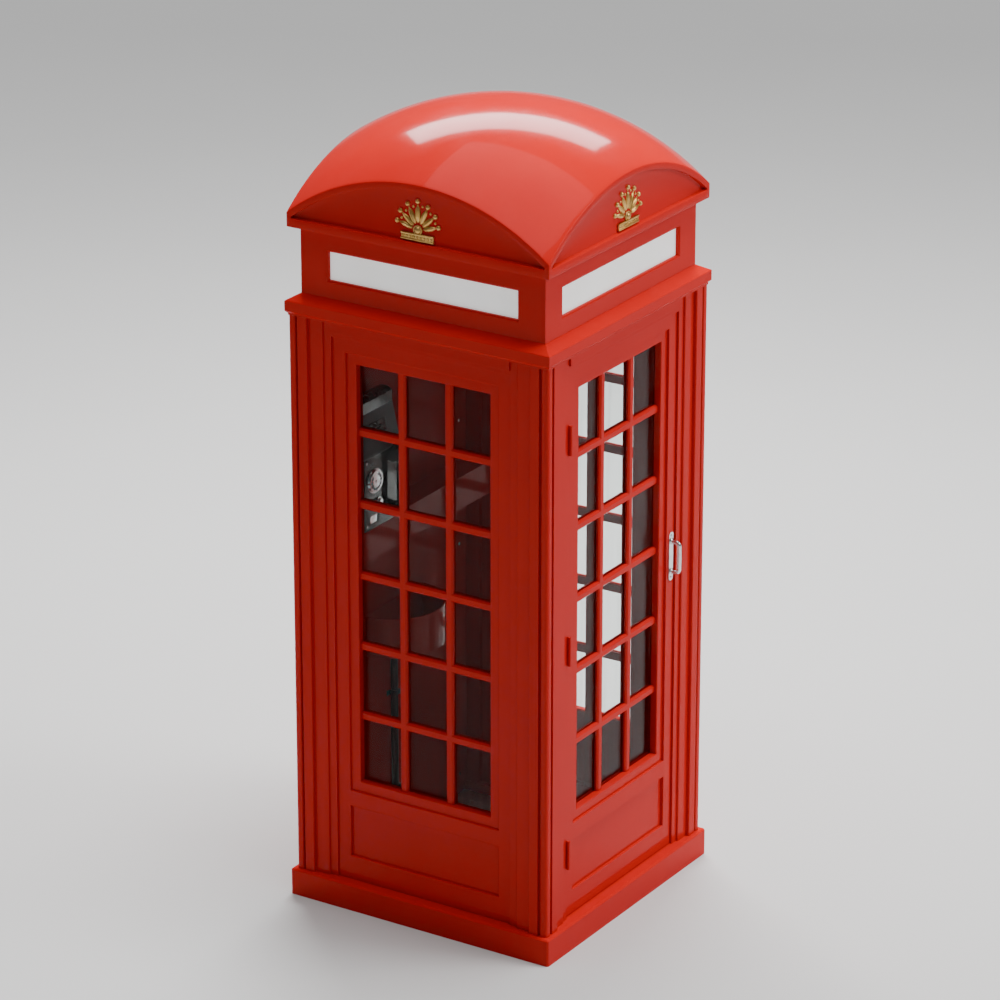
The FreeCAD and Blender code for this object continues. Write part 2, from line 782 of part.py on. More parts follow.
def make_hinges():
    """Three butt hinges: the odd knuckles of each are on the post, the even ones on the door."""
    knuckles = int(size("hinge_knuckles"))
    centre = ("-hinge_across", "-hinge_out")
    leaf_back = "-face_plane + hinge_leaf_depth"
    leaves = {"post": [], "door": []}
    pins = []
    sides = {"post": ("-bay_half", "-bay_half + hinge_leaf"),
             "door": ("-door_half", "-door_half + hinge_leaf")}
    for number, low in enumerate(hinge_levels()):
        step = f"hinge_length / {knuckles}"
        pins.append(rod(f"pin{number}", "hinge_pin_radius", "z", (*centre, low), "hinge_length"))
        for side, across in sides.items():
            own = 0 if side == "post" else 1
            front = "-hinge_out" if side == "post" else "-face_plane"
            plate = block(f"{side}_plate{number}", across, (front, leaf_back),
                          (low, f"{low} + hinge_length"))
            barrels = [plate]
            gaps = []
            for knuckle in range(knuckles):
                start = f"{low} + {knuckle} * {step}"
                spot = (*centre, start)
                if knuckle % 2 == own:
                    margin = "0" if side == "post" else "seat_gap"
                    tall = f"{step} - 2 * {margin}"
                    spot = (*centre, f"{start} + {margin}")
                    barrels.append(rod(f"{side}_barrel{number}_{knuckle}", "hinge_barrel_radius",
                                       "z", spot, tall))
                    if side == "door":
                        arm = ("-hinge_across", "-door_half + hinge_leaf")
                        barrels.append(block(f"door_arm{number}_{knuckle}", arm,
                                             ("-hinge_out - hinge_leaf / 2",
                                              "-hinge_out + hinge_leaf / 2"),
                                             (f"{start} + {margin}", f"{start} + {step} - {margin}")))
                        barrels.append(block(f"door_tab{number}_{knuckle}", across,
                                             ("-hinge_out - hinge_leaf / 2", "-face_plane"),
                                             (f"{start} + {margin}", f"{start} + {step} - {margin}")))
                else:
                    gaps.append(rod(f"{side}_gap{number}_{knuckle}",
                                    "hinge_barrel_radius + seat_gap * 2", "z", spot, step))
            bore = rod(f"{side}_bore{number}", "hinge_pin_radius + hinge_play" if side == "door"
                       else "hinge_pin_radius", "z", (*centre, low), "hinge_length")
            leaves[side].append(cut(f"{side}_leaf{number}", fuse(f"{side}_fused{number}", *barrels),
                                    bore, *gaps))
    piece(group("post_leaves", *leaves["post"]), "hinge_post_leaves")
    piece(group("door_leaves", *leaves["door"]), "hinge_door_leaves")
    piece(group("pins", *pins), "hinge_pins")


def make_pull():
    """A bow handle on a backplate, with two dome-headed screws through the plate."""
    plate = block("pull_backplate", ("pull_across - pull_plate_width / 2",
                                     "pull_across + pull_plate_width / 2"),
                  ("-pull_face", "-face_plane"),
                  ("pull_low - pull_plate_width", "pull_high + pull_plate_width"))

    def upright_corner(edge):
        return runs_along(edge, FreeCAD.Vector(0, 1, 0))

    piece(eased("pull_plate_rounded", plate, upright_corner, size("pull_plate_round"),
                "Part::Fillet"), "pull_plate")
    heads = []
    for number, level in enumerate(("pull_low - pull_plate_width / 2",
                                    "pull_high + pull_plate_width / 2")):
        dome = doc.addObject("Part::Sphere", f"pull_screw_dome{number}")
        dome.setExpression("Radius", bound("screw_head_radius"))
        place(dome, "pull_across", "-pull_face + screw_head_sink", level)
        keep = block(f"pull_screw_keep{number}",
                     ("pull_across - screw_head_radius", "pull_across + screw_head_radius"),
                     ("-pull_face - screw_head_radius", "-pull_face"),
                     (f"{level} - screw_head_radius", f"{level} + screw_head_radius"))
        heads.append(common(f"pull_screw{number}", dome, keep))
    piece(group("pull_screw_heads", *heads), "pull_screws")

    radius = size("pull_radius")
    bend = size("pull_bend")
    across = size("pull_across")
    root = -size("pull_face")
    out = -size("face_plane") - size("pull_reach")
    bottom = size("pull_low") + radius
    top = size("pull_high") - radius
    corner = bend * (1 - math.sqrt(0.5))

    def at(depth, level):
        return FreeCAD.Vector(across, depth, level)

    path = Part.Wire([
        Part.LineSegment(at(root, bottom), at(out + bend, bottom)).toShape(),
        Part.Arc(at(out + bend, bottom), at(out + corner, bottom + corner),
                 at(out, bottom + bend)).toShape(),
        Part.LineSegment(at(out, bottom + bend), at(out, top - bend)).toShape(),
        Part.Arc(at(out, top - bend), at(out + corner, top - corner),
                 at(out + bend, top)).toShape(),
        Part.LineSegment(at(out + bend, top), at(root, top)).toShape(),
    ])
    ring = Part.Wire([Part.Circle(at(root, bottom), FreeCAD.Vector(0, 1, 0), radius).toShape()])
    grip = doc.addObject("Part::Feature", "pull_bow")
    grip.Shape = path.makePipeShell([ring], True, True)
    piece(grip, "pull_grip")


# -------------------------------------------------------------------------- cornice and roof

def make_cornice():
    """A square ring, hollow below: a coved soffit, a plain fascia and a slope up to the frieze."""
    outline = [
        ("-wall_inner", "storey_top"),
        ("-shaft_half", "storey_top"),
        ("-shaft_half", "storey_top + cove_low"),
        ("-cornice_half", "storey_top + fascia_low"),
        ("-cornice_half", "storey_top + fascia_high"),
        ("-cornice_half + arris", "storey_top + fascia_high + arris"),
        ("-frieze_half", "cornice_top"),
        ("-wall_inner", "cornice_top"),
    ]
    corner = "cornice_half + over_cut"
    runs = []
    for side, turn in SIDES.items():
        run = profile("cornice_" + side, "YZ_Plane", outline, "cornice_half * 2",
                      "-cornice_half")
        mitre = profile("mitre_" + side, "XY_Plane",
                        [("0", "0"), (f"-({corner})", f"-({corner})"), (corner, f"-({corner})")],
                        "cornice_height + over_cut * 2", "storey_top - over_cut")
        runs.append(turned(common("cornice_run_" + side, run, mitre), turn))
    hollow_level = ("storey_top", "storey_top + fascia_high - casting_wall")
    hollow = cut("cornice_hollow",
                 square("cornice_hollow_outer", "shaft_half - casting_wall", *hollow_level),
                 square("cornice_hollow_inner", "wall_inner + casting_wall", *hollow_level))
    piece(cut("cornice_whole", fuse("cornice_ring", *runs), hollow), "cornice")


def make_frieze():
    outer = square("frieze_outer", "frieze_half", "cornice_top", "frieze_top")
    inner = square("frieze_inner", "sign_back", "cornice_top", "frieze_top")
    through = ("-frieze_half", "frieze_half")
    width = ("-sign_width / 2", "sign_width / 2")
    level = ("sign_bottom", "sign_top")
    ring = cut("frieze_ring", outer, inner, block("sign_hole_along", width, through, level),
               block("sign_hole_across", through, width, level))
    half = size("frieze_half")
    reach = sized("sign_width / 2")
    low = size("sign_bottom")
    high = size("sign_top")

    def sign_arris(edge):
        box = edge.BoundBox
        on_face = any(near(abs(a), half) and near(a, b) for a, b in
                      ((box.XMin, box.XMax), (box.YMin, box.YMax)))
        centre = edge.CenterOfMass
        slack = size("over_cut")
        inside = min(abs(centre.x), abs(centre.y)) < reach + slack
        on_corner = near(min(abs(box.XMin), abs(box.YMin)), half)
        return on_face and inside and low - slack < centre.z < high + slack and not on_corner

    piece(eased("frieze_eased", ring, sign_arris, size("broad_arris")), "frieze")


def make_signs():
    """Four opal panes behind the frieze's windows, each clamped by a frame from inside."""
    lap = "sign_lap"
    width = (f"-sign_width / 2 - {lap}", f"sign_width / 2 + {lap}")
    level = (f"sign_bottom - {lap}", f"sign_top + {lap}")
    glass_back = "-sign_back + sign_thickness"
    clamp = (glass_back, f"{glass_back} + retainer_thickness")
    panes = []
    retainers = []
    for side, turn in SIDES.items():
        pane = block(f"sign_{side}", width, ("-sign_back", glass_back), level)
        panes.append(turned(group(f"sign_{side}_one", pane), turn))
        outer = block(f"retainer_{side}_outer", width, clamp, level)
        inner = block(f"retainer_{side}_inner", ("-sign_width / 2", "sign_width / 2"), clamp,
                      ("sign_bottom", "sign_top"))
        retainers.append(turned(cut(f"retainer_{side}", outer, inner), turn))
    piece(group("sign_set", *panes), "sign_glasses")
    piece(group("retainer_set", *retainers), "sign_retainers")


def dome_block(name, half, radius, low):
    """A square block under a sphere about the dome's centre."""
    ball = doc.addObject("Part::Sphere", name + "_ball")
    ball.setExpression("Radius", bound(radius))
    place(ball, "0", "0", "dome_middle")
    return common(name, square(name + "_square", half, low, "roof_top + over_cut"), ball)


def make_roof():
    """A sail vault on a square plan; each side is a segmental pediment with a thin raised rim."""
    outer = dome_block("roof_outer", "roof_half", "dome_radius", "frieze_top")
    inner = dome_block("roof_cavity", "roof_inner", "dome_radius - dome_wall", "frieze_top")
    field = dome_block("pediment_ball", "roof_half + over_cut", "dome_radius - pediment_rim",
                       "pediment_low")
    slabs = []
    reach = "roof_half - pediment_rim"
    for side, turn in SIDES.items():
        slab = block("pediment_slab_" + side, (f"-({reach})", reach),
                     ("-roof_half - over_cut", "-fan_back"), ("pediment_low", "roof_top"))
        slabs.append(turned(group("pediment_turn_" + side, slab), turn))
    recesses = common("pediment_recesses", field, fuse("pediment_slabs", *slabs))
    piece(cut("roof_shell", outer, inner, recesses), "roof")


def make_ornament(side, turn):
    """A gilt fan: round ribs with ball tips that spring from a boss above a plain band."""
    ribs = int(size("fan_ribs"))
    shapes = [block(f"fan_band_{side}", ("-fan_band_width / 2", "fan_band_width / 2"),
                    ("-fan_back - fan_band_thickness", "-fan_back"),
                    ("fan_foot_level", "fan_foot_level + fan_band_height"))]
    boss = doc.addObject("Part::Sphere", f"fan_boss_{side}")
    boss.setExpression("Radius", bound("fan_boss_radius"))
    place(boss, "0", "-fan_back", "fan_heart")
    shapes.append(boss)
    for number in range(ribs):
        from_middle = number - (ribs - 1) / 2
        lean = from_middle * size("fan_turn")
        share = abs(from_middle) * 2 / (ribs - 1)
        reach = f"(fan_reach + (fan_side_reach - fan_reach) * {share})"
        rib = doc.addObject("Part::Cone", f"fan_rib_{side}{number}")
        rib.setExpression("Radius1", bound("fan_root_radius"))
        rib.setExpression("Radius2", bound("fan_rib_radius"))
        rib.setExpression("Height", bound(reach))
        rib.Placement = FreeCAD.Placement(
            FreeCAD.Vector(), FreeCAD.Rotation(FreeCAD.Vector(0, 1, 0), lean))
        place(rib, "0", "-fan_back", "fan_heart")
        sine = math.sin(math.radians(lean))
        cosine = math.cos(math.radians(lean))
        tip = doc.addObject("Part::Sphere", f"fan_tip_{side}{number}")
        tip.setExpression("Radius", bound("fan_tip_radius"))
        place(tip, f"{reach} * {sine:.5f}", "-fan_back", f"fan_heart + {reach} * {cosine:.5f}")
        shapes.extend((rib, tip))
    whole = fuse(f"fan_whole_{side}", *shapes)
    keep = block(f"fan_keep_{side}", ("-fan_reach * 2", "fan_reach * 2"),
                 ("-roof_half", "-fan_back"), ("frieze_top", "roof_top"))
    return turned(common(f"fan_{side}", whole, keep), turn)


# ------------------------------------------------------------------------------ cabin fittings

def make_ceiling():
    half = "sign_back - sign_thickness - retainer_thickness - fitting_gap"
    board = square("ceiling_board", half, "cornice_top", "cornice_top + ceiling_thickness")
    piece(group("ceiling_one", board), "ceiling_panel")
    base = rod("lamp_base_disc", "lamp_radius", "z", ("0", "0", "lamp_seat"),
               "lamp_base_thickness")
    socket = rod("lamp_socket", "lamp_socket_radius", "z", ("0", "0", "lamp_socket_low"),
                 "lamp_socket_length")
    piece(fuse("lamp_base_whole", base, socket), "lamp_base")
    bulb = doc.addObject("Part::Sphere", "bulb_ball")
    bulb.setExpression("Radius", bound("lamp_bulb_radius"))
    place(bulb, "0", "0", "lamp_socket_low - lamp_bulb_radius")
    piece(group("bulb_one", bulb), "lamp_bulb")
    shells = []
    for name, inset in (("bowl_outer", "0"), ("bowl_inner", "lamp_wall")):
        shell = doc.addObject("Part::Ellipsoid", name)
        shell.setExpression("Radius1", bound(f"lamp_drop - {inset}"))
        shell.setExpression("Radius2", bound(f"bowl_radius - {inset}"))
        shell.setExpression("Radius3", bound(f"bowl_radius - {inset}"))
        place(shell, "0", "0", "lamp_seat")
        shells.append(shell)
    below = square("bowl_below", "lamp_radius", "lamp_seat - lamp_drop * 2", "lamp_seat")
    piece(common("bowl_trim", cut("bowl_shell", *shells), below), "lamp_bowl")


def make_backboard():
    half = "wall_inner - fitting_gap"
    board = block("board_sheet", (f"-({half})", half), ("board_face", "wall_inner"),
                  ("plinth_height", "storey_top"))
    piece(group("board_one", board), "backboard")


def make_shelf():
    front = "board_face - shelf_depth"
    low = "shelf_top - shelf_front_height"
    outline = [
        ("board_face", "shelf_top"),
        (front, "shelf_top"),
        (front, low),
        (f"{front} + shelf_board", low),
        (f"{front} + shelf_board", "shelf_top - shelf_board"),
        ("board_face", "shelf_top - shelf_board"),
    ]
    half = "(wall_inner - fitting_gap * 2)"
    shelf = profile("shelf", "YZ_Plane", outline, f"{half} * 2", f"-{half}")
    piece(group("shelf_one", shelf), "telephone_shelf")


def make_bin():
    """A half-round tray for directories, open at the top, flat against the backboard."""
    spot = ("bin_middle", "board_face")
    drum = rod("bin_drum", "bin_radius", "z", (*spot, "bin_low"), "bin_height")
    hollow = rod("bin_hollow", "bin_radius - bin_wall", "z", (*spot, "bin_low + bin_wall"),
                 "bin_height")
    keep = block("bin_keep", ("bin_middle - bin_radius", "bin_middle + bin_radius"),
                 ("board_face - bin_radius", "board_face"), ("bin_low", "bin_top"))
    back = block("bin_back", ("bin_middle - bin_radius", "bin_middle + bin_radius"),
                 ("board_face - bin_wall", "board_face"), ("bin_low", "bin_top"))
    front = common("bin_front", cut("bin_shell", drum, hollow), keep)
    piece(fuse("bin_whole", front, back), "directory_bin")


def make_conduit():
    spot = ("conduit_offset", "conduit_middle")
    tube = rod("conduit_outer", "conduit_radius", "z", (*spot, "0"), "bin_low")
    bore = rod("conduit_bore", "conduit_radius - conduit_wall", "z", (*spot, "0"), "bin_low")
    piece(cut("conduit_tube", tube, bore), "cable_conduit")
    straps = []
    reach = "conduit_radius + conduit_wall"
    for number, level in enumerate(("conduit_low_strap", "conduit_high_strap")):
        height = (level, f"{level} + strap_height")
        front = "board_face - conduit_radius * 2 - conduit_wall"
        saddle = block(f"strap_saddle{number}", (f"conduit_offset - ({reach})",
                                                 f"conduit_offset + {reach}"),
                       (front, "board_face"), height)
        flange = block(f"strap_flange{number}", ("conduit_offset - strap_reach",
                                                 "conduit_offset + strap_reach"),
                       ("board_face - conduit_wall", "board_face"), height)
        hole = rod(f"strap_hole{number}", "conduit_radius", "z", (*spot, level), "strap_height")
        legs = block(f"strap_legs{number}", ("conduit_offset - conduit_radius",
                                             "conduit_offset + conduit_radius"),
                     ("conduit_middle", "board_face"), height)
        straps.append(cut(f"strap{number}", fuse(f"strap_body{number}", saddle, flange),
                          hole, legs))
    piece(group("strap_pair", *straps), "conduit_straps")


# ---------------------------------------------------------------------------------- telephone

def make_case():
    """The lower casing: a box open at the back, with holes for everything that passes its front."""
    shell = block("case_shell", ("case_left", "case_right"), ("case_face", "board_face"),
                  ("shelf_top", "case_top"))
    hollow = block("case_hollow", ("case_left + case_wall", "case_right - case_wall"),
                   ("case_face + case_wall", "board_face"),
                   ("shelf_top + case_wall", "case_top - case_wall"))
    holes = [hollow]
    room = "(prong_radius + seat_gap * 2)"
    for key, sign in (("left", "-"), ("right", "+")):
        middle = f"handset_across {sign} prong_spread"
        holes.append(block(f"prong_slot_{key}", (f"{middle} - {room}", f"{middle} + {room}"),
                           ("case_face", "case_face + case_wall"),
                           (f"prong_up - {room}", f"prong_up + hook_travel + {room}")))
    for key, across in button_places():
        holes.append(rod(f"button_hole_{key}", "button_radius + button_play", "y",
                         (across, "case_face", "button_up"), "case_wall"))
    holes.append(block("flap_hole", ("dial_across - flap_width / 2 - flap_gap",
                                     "dial_across + flap_width / 2 + flap_gap"),
                       ("case_face", "case_face + case_wall"),
                       ("flap_bottom - flap_gap", "flap_top + flap_gap")))
    casing = cut("case_cut", shell, *holes)
    left = size("case_left")
    right = size("case_right")
    face = size("case_face")

    def upright_front(edge):
        at = edge.CenterOfMass
        return runs_along(edge, UP) and near(at.y, face) and (near(at.x, left) or near(at.x, right))

    piece(eased("case_eased", casing, upright_front, size("case_wall"), "Part::Fillet"),
          "telephone_case")


def button_places():
    return (("a", "dial_across - button_spread / 2"), ("b", "dial_across + button_spread / 2"))


def make_upper_case():
    """A sloping front over the casing, a rounded hood on top, and the coin slot's dark plate."""
    outline = [
        ("board_face", "case_top"),
        ("case_face", "case_top"),
        ("case_face", "slope_low"),
        ("slope_back", "slope_top"),
        ("board_face", "slope_top"),
    ]
    wedge = profile("slope", "YZ_Plane", outline, "case_width", "case_left")
    lean = math.degrees(math.atan2(sized("slope_back - case_face"), sized("slope_top - slope_low")))
    lean_back = FreeCAD.Placement(FreeCAD.Vector(),
                                  FreeCAD.Rotation(FreeCAD.Vector(1, 0, 0), -lean))

    def on_slope(name, width, depth, height, sink, rise):
        """A block let into the sloping front by its sink, a rise above the slope's foot."""
        item = doc.addObject("Part::Box", name)
        item.setExpression("Length", bound(width))
        item.setExpression("Width", bound(depth))
        item.setExpression("Height", bound(height))
        item.Placement = lean_back
        run = f"({rise}) * (slope_back - case_face) / (slope_top - slope_low)"
        return place(item, f"case_middle - {width} / 2", f"case_face + {run} - ({depth} - {sink})",
                     f"slope_low + {rise}")

    plate = on_slope("slot_plate_box", "slot_plate_width", "slot_plate_thickness",
                     "slot_plate_height", "slot_plate_sink", "slot_plate_rise")
    slit = on_slope("slot_slit", "slot_length", "slot_depth", "slot_width", "slot_depth / 2",
                    "(slot_plate_rise + slot_plate_height / 2)")
    piece(cut("slope_cut", wedge, group("slot_tools", plate, slit)), "telephone_front")
    piece(cut("slot_cut", plate, slit), "coin_slot_plate")
    drum = rod("hood_drum", "hood_radius", "x",
               ("case_left", "board_face - hood_radius", "slope_top"), "case_width")
    keep = block("hood_keep", ("case_left", "case_right"), ("slope_back", "board_face"),
                 ("slope_top", "slope_top + hood_radius"))
    piece(common("hood_top", drum, keep), "telephone_hood")


def make_dial():
    """A finger-hole disc on a fixed spindle, over a number ring."""
    plate_front = "case_face - dial_plate_thickness"
    disc_front = f"{plate_front} - seat_gap - dial_thickness"
    middle = ("dial_across", "dial_up")

    def across_face(name, radius, front, depth):
        return rod(name, radius, "y", (middle[0], front, middle[1]), depth)

    plate = across_face("dial_plate_disc", "dial_radius + dial_plate_margin", plate_front,
                        "dial_plate_thickness")
    spindle = across_face("dial_spindle", "spindle_radius", f"{disc_front} - spindle_head",
                          "spindle_head + dial_thickness + seat_gap")
    piece(fuse("dial_mount", plate, spindle), "dial_plate")
    disc = across_face("dial_disc", "dial_radius", disc_front, "dial_thickness")
    holes = [across_face("dial_bore", "spindle_radius + hinge_play", disc_front,
                         "dial_thickness")]
    for number in range(int(size("finger_holes"))):
        turn = math.radians(size("finger_first_turn") - size("finger_hole_turn") * number)
        holes.append(rod(f"finger_hole{number}", "finger_hole_radius", "y",
                         (f"dial_across + finger_circle_radius * {math.cos(turn):.5f}",
                          disc_front,
                          f"dial_up + finger_circle_radius * {math.sin(turn):.5f}"),
                         "dial_thickness"))
    piece(cut("dial_cut", disc, *holes), "dial")


def make_hook():
    """Two prongs on a crossbar; the handset's upper cap rests on them."""
    inside = "case_face + case_wall + hook_bar_setback"
    bars = []
    for key, sign in (("left", "-"), ("right", "+")):
        bars.append(rod(f"prong_{key}", "prong_radius", "y",
                        (f"handset_across {sign} prong_spread", "cap_front - prong_tip",
                         "prong_up"),
                        f"{inside} + hook_bar - (cap_front - prong_tip)"))
    reach = "(prong_spread + prong_radius)"
    bars.append(block("hook_crossbar", (f"handset_across - {reach}", f"handset_across + {reach}"),
                      (inside, f"{inside} + hook_bar"),
                      ("prong_up - prong_radius", "prong_up + prong_radius")))
    piece(fuse("hook_whole", *bars), "hook_lever")


def make_handset():
    """A straight grip with an ear cap above and a mouth cap below, both facing the casing."""
    grip = rod("grip_bar", "handset_grip_radius", "z",
               ("handset_across", "cap_front + handset_grip_setback", "handset_low"),
               "handset_length")
    heads = []
    caps = []
    for key, level in (("ear", "handset_up"), ("mouth", "handset_low")):
        heads.append(rod(f"{key}_head", "handset_cap_radius", "y",
                         ("handset_across", "cap_front", level), "handset_cap_seam"))
        caps.append(rod(f"{key}_cap_disc", "handset_cap_radius", "y",
                        ("handset_across", "cap_front + handset_cap_seam", level),
                        "handset_cap_depth - handset_cap_seam"))
    piece(fuse("handset_whole", grip, *heads), "handset_grip")
    piece(group("cap_pair", *caps), "handset_caps")


def make_buttons():
    """Two push buttons, each kept by a flange behind the casing, in a raised bezel."""
    bezel_front = "case_face - bezel_thickness"
    front = f"({bezel_front} - button_travel - button_proud)"
    back = "case_face + case_wall"
    bezels = []
    for key, across in button_places():
        stem = rod(f"button_stem_{key}", "button_radius", "y", (across, front, "button_up"),
                   f"{back} + button_tail - {front}")
        stop = rod(f"button_stop_{key}", "button_radius + button_flange", "y",
                   (across, f"{back} + seat_gap", "button_up"), "button_flange")
        piece(fuse(f"button_whole_{key}", stem, stop), f"button_{key}")
        spot = (across, bezel_front, "button_up")
        ring = rod(f"bezel_outer_{key}", "button_radius + bezel_margin", "y", spot,
                   "bezel_thickness")
        hole = rod(f"bezel_hole_{key}", "button_radius + button_play", "y", spot,
                   "bezel_thickness")
        bezels.append(cut(f"bezel_{key}", ring, hole))
    piece(group("bezel_pair", *bezels), "button_bezels")


def make_flap():
    """The coin-return flap hangs from a pin across the top of its opening and swings inwards."""
    half = "flap_width / 2"
    left = f"dial_across - {half}"
    right = f"dial_across + {half}"
    back = "case_face + case_wall"
    pin_y = f"{back} + flap_pin_radius"
    pin_z = "flap_top - flap_pin_radius * 2"
    plate = block("flap_plate", (f"{left} + seat_gap", f"{right} - seat_gap"),
                  (f"{pin_y} - flap_thickness / 2", f"{pin_y} + flap_thickness / 2"),
                  ("flap_bottom + seat_gap", pin_z))
    spot = (f"{left} + seat_gap", pin_y, pin_z)
    barrel = rod("flap_barrel", "flap_pin_radius * 2", "x", spot, "flap_width - 2 * seat_gap")
    bore = rod("flap_bore", "flap_pin_radius + hinge_play", "x", spot,
               "flap_width - 2 * seat_gap")
    piece(cut("flap_cut", fuse("flap_fused", plate, barrel), bore), "coin_flap")
    pin = rod("flap_pin_rod", "flap_pin_radius", "x", (f"{left} - flap_lug", pin_y, pin_z),
              "flap_width + flap_lug * 2")
    lugs = []
    for key, across in (("left", (f"{left} - flap_lug", left)),
                        ("right", (right, f"{right} + flap_lug"))):
        lugs.append(block(f"flap_lug_{key}", across, (back, f"{back} + flap_pin_radius * 3"),
                          (f"{pin_z} - flap_pin_radius * 2", f"{pin_z} + flap_pin_radius * 2")))
    piece(fuse("flap_hanger", pin, *lugs), "coin_flap_pin")


# ----------------------------------------------------------------------------------- the booth

make_plinth()
make_floor()
for label, turn in (("corner_post_front_left", 0), ("corner_post_front_right", 90),
                    ("corner_post_rear_right", 180), ("corner_post_rear_left", -90)):
    make_post(label, turn)
make_lintels()
make_window_frame("rear_panel", SIDES["rear"], False)
for side in ("left", "right"):
    make_window_frame(f"window_frame_{side}", SIDES[side], True)
for name, maker in (("bars", make_bars), ("glass", make_panes), ("beads", make_beads)):
    pair = [maker(f"{name}_{side}", SIDES[side]) for side in ("left", "right")]
    piece(group(f"{name}_pair", *pair), f"window_{name}")
    piece(maker(f"{name}_door", 0), f"door_{name}")
make_door_frame()
make_door_stops()
make_hinges()
make_pull()
make_cornice()
make_frieze()
make_signs()
make_roof()
piece(group("fan_set", *[make_ornament(side, turn) for side, turn in SIDES.items()]),
      "pediment_ornaments")
make_ceiling()
make_backboard()
make_shelf()
make_bin()
make_conduit()
make_case()
make_upper_case()
make_dial()
make_hook()
make_handset()
make_buttons()
make_flap()

doc.recompute()

for item in doc.Objects:
    faults = [state for state in item.State if state in ("Invalid", "Error")]
    if faults:
        raise RuntimeError(f"{item.Label} is {faults}")
for item in PIECES:
    if item.Shape.isNull() or not item.Shape.isValid() or not item.Shape.Solids:
        raise RuntimeError(f"{item.Label} has no valid solid")

os.makedirs("parts", exist_ok=True)
for item in PIECES:
    item.Shape.exportStep(f"parts/{item.Label}.step")
    box = item.Shape.BoundBox
    print(f"{item.Label}: {len(item.Shape.Solids)} solids, {item.Shape.Volume / 1000:.1f} cm3, "
          f"x {box.XMin:.1f}..{box.XMax:.1f} y {box.YMin:.1f}..{box.YMax:.1f} "
          f"z {box.ZMin:.1f}..{box.ZMax:.1f}")
print(len(PIECES), "sub-parts")
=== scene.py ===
import math

import bmesh
import bpy
from mathutils import Matrix, Vector


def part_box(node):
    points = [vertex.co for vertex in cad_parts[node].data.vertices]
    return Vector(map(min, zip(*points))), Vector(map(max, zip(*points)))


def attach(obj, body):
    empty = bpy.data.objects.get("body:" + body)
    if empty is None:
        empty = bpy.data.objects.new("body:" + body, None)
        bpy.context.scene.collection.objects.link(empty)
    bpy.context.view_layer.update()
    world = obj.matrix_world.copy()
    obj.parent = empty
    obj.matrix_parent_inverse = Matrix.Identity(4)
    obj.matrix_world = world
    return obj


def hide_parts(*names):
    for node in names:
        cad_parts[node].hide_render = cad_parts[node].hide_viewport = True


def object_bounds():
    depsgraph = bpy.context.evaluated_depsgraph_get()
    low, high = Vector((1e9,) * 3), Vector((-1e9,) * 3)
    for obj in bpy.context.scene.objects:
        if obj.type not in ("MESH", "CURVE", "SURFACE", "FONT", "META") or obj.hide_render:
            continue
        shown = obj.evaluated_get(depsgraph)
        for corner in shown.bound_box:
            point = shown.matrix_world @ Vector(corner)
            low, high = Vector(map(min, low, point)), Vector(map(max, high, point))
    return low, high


# A street telephone booth: the carried-over castings, timber and glass get their finishes here,
# and the roof, gilt fans, door pull, handset, lamp bowl, dial numbers and screws are modelled.
# Metres, +Z up, the door faces -Y.

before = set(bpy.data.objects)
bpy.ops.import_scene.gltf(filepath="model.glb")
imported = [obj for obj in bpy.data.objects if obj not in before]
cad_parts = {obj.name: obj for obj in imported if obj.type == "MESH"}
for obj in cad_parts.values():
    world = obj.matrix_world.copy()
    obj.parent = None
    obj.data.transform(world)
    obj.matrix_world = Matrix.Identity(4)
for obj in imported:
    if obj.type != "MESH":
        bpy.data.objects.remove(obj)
CAD_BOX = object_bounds()

MM = 0.001
QUARTER = math.pi / 2


# ------------------------------------------------------------------------------ shader helpers

def shade(tree, kind, inputs=None, **settings):
    """Add a shader node, set its options, and fill its sockets with links or plain values."""
    made = tree.nodes.new(kind)
    for option, value in settings.items():
        setattr(made, option, value)
    for socket, value in (inputs or {}).items():
        if isinstance(value, bpy.types.NodeSocket):
            tree.links.new(value, made.inputs[socket])
        else:
            made.inputs[socket].default_value = value
    return made


def math_of(tree, operation, first, second=0.0):
    made = shade(tree, "ShaderNodeMath", {0: first, 1: second}, operation=operation)
    return made.outputs[0]


def blend_of(tree, factor, first, second, mode="MIX"):
    """Mix two colours by a factor."""
    made = shade(tree, "ShaderNodeMix", {0: factor, 6: first, 7: second}, data_type="RGBA",
                 blend_type=mode)
    return made.outputs[2]


def ranged(tree, value, low, high, to_low=0.0, to_high=1.0):
    """Map a value from one range to another, held at both ends."""
    made = shade(tree, "ShaderNodeMapRange",
                 {"Value": value, "From Min": low, "From Max": high, "To Min": to_low,
                  "To Max": to_high}, interpolation_type="SMOOTHSTEP")
    return made.outputs["Result"]


def noise_of(tree, point, scale, detail=2.0, roughness=0.5, distortion=0.0):
    made = shade(tree, "ShaderNodeTexNoise",
                 {"Vector": point, "Scale": scale, "Detail": detail, "Roughness": roughness,
                  "Distortion": distortion})
    return made.outputs[0]


def stretched(tree, scale, turn=(0, 0, 0)):
    """Object coordinates, stretched and turned."""
    point = shade(tree, "ShaderNodeTexCoord").outputs["Object"]
    made = shade(tree, "ShaderNodeMapping", {"Vector": point, "Scale": scale, "Rotation": turn})
    return made.outputs["Vector"]


def shader_group(name, inputs, outputs):
    """A node group with named sockets; gives its tree, its input node and its output node."""
    tree = bpy.data.node_groups.new(name, "ShaderNodeTree")
    kinds = {"colour": "NodeSocketColor", "value": "NodeSocketFloat", "vector": "NodeSocketVector"}
    for label, kind, value in inputs:
        socket = tree.interface.new_socket(name=label, in_out="INPUT", socket_type=kinds[kind])
        socket.default_value = value
    for label, kind in outputs:
        tree.interface.new_socket(name=label, in_out="OUTPUT", socket_type=kinds[kind])
    return tree, tree.nodes.new("NodeGroupInput"), tree.nodes.new("NodeGroupOutput")


# ------------------------------------------------------------------------------- shared effects

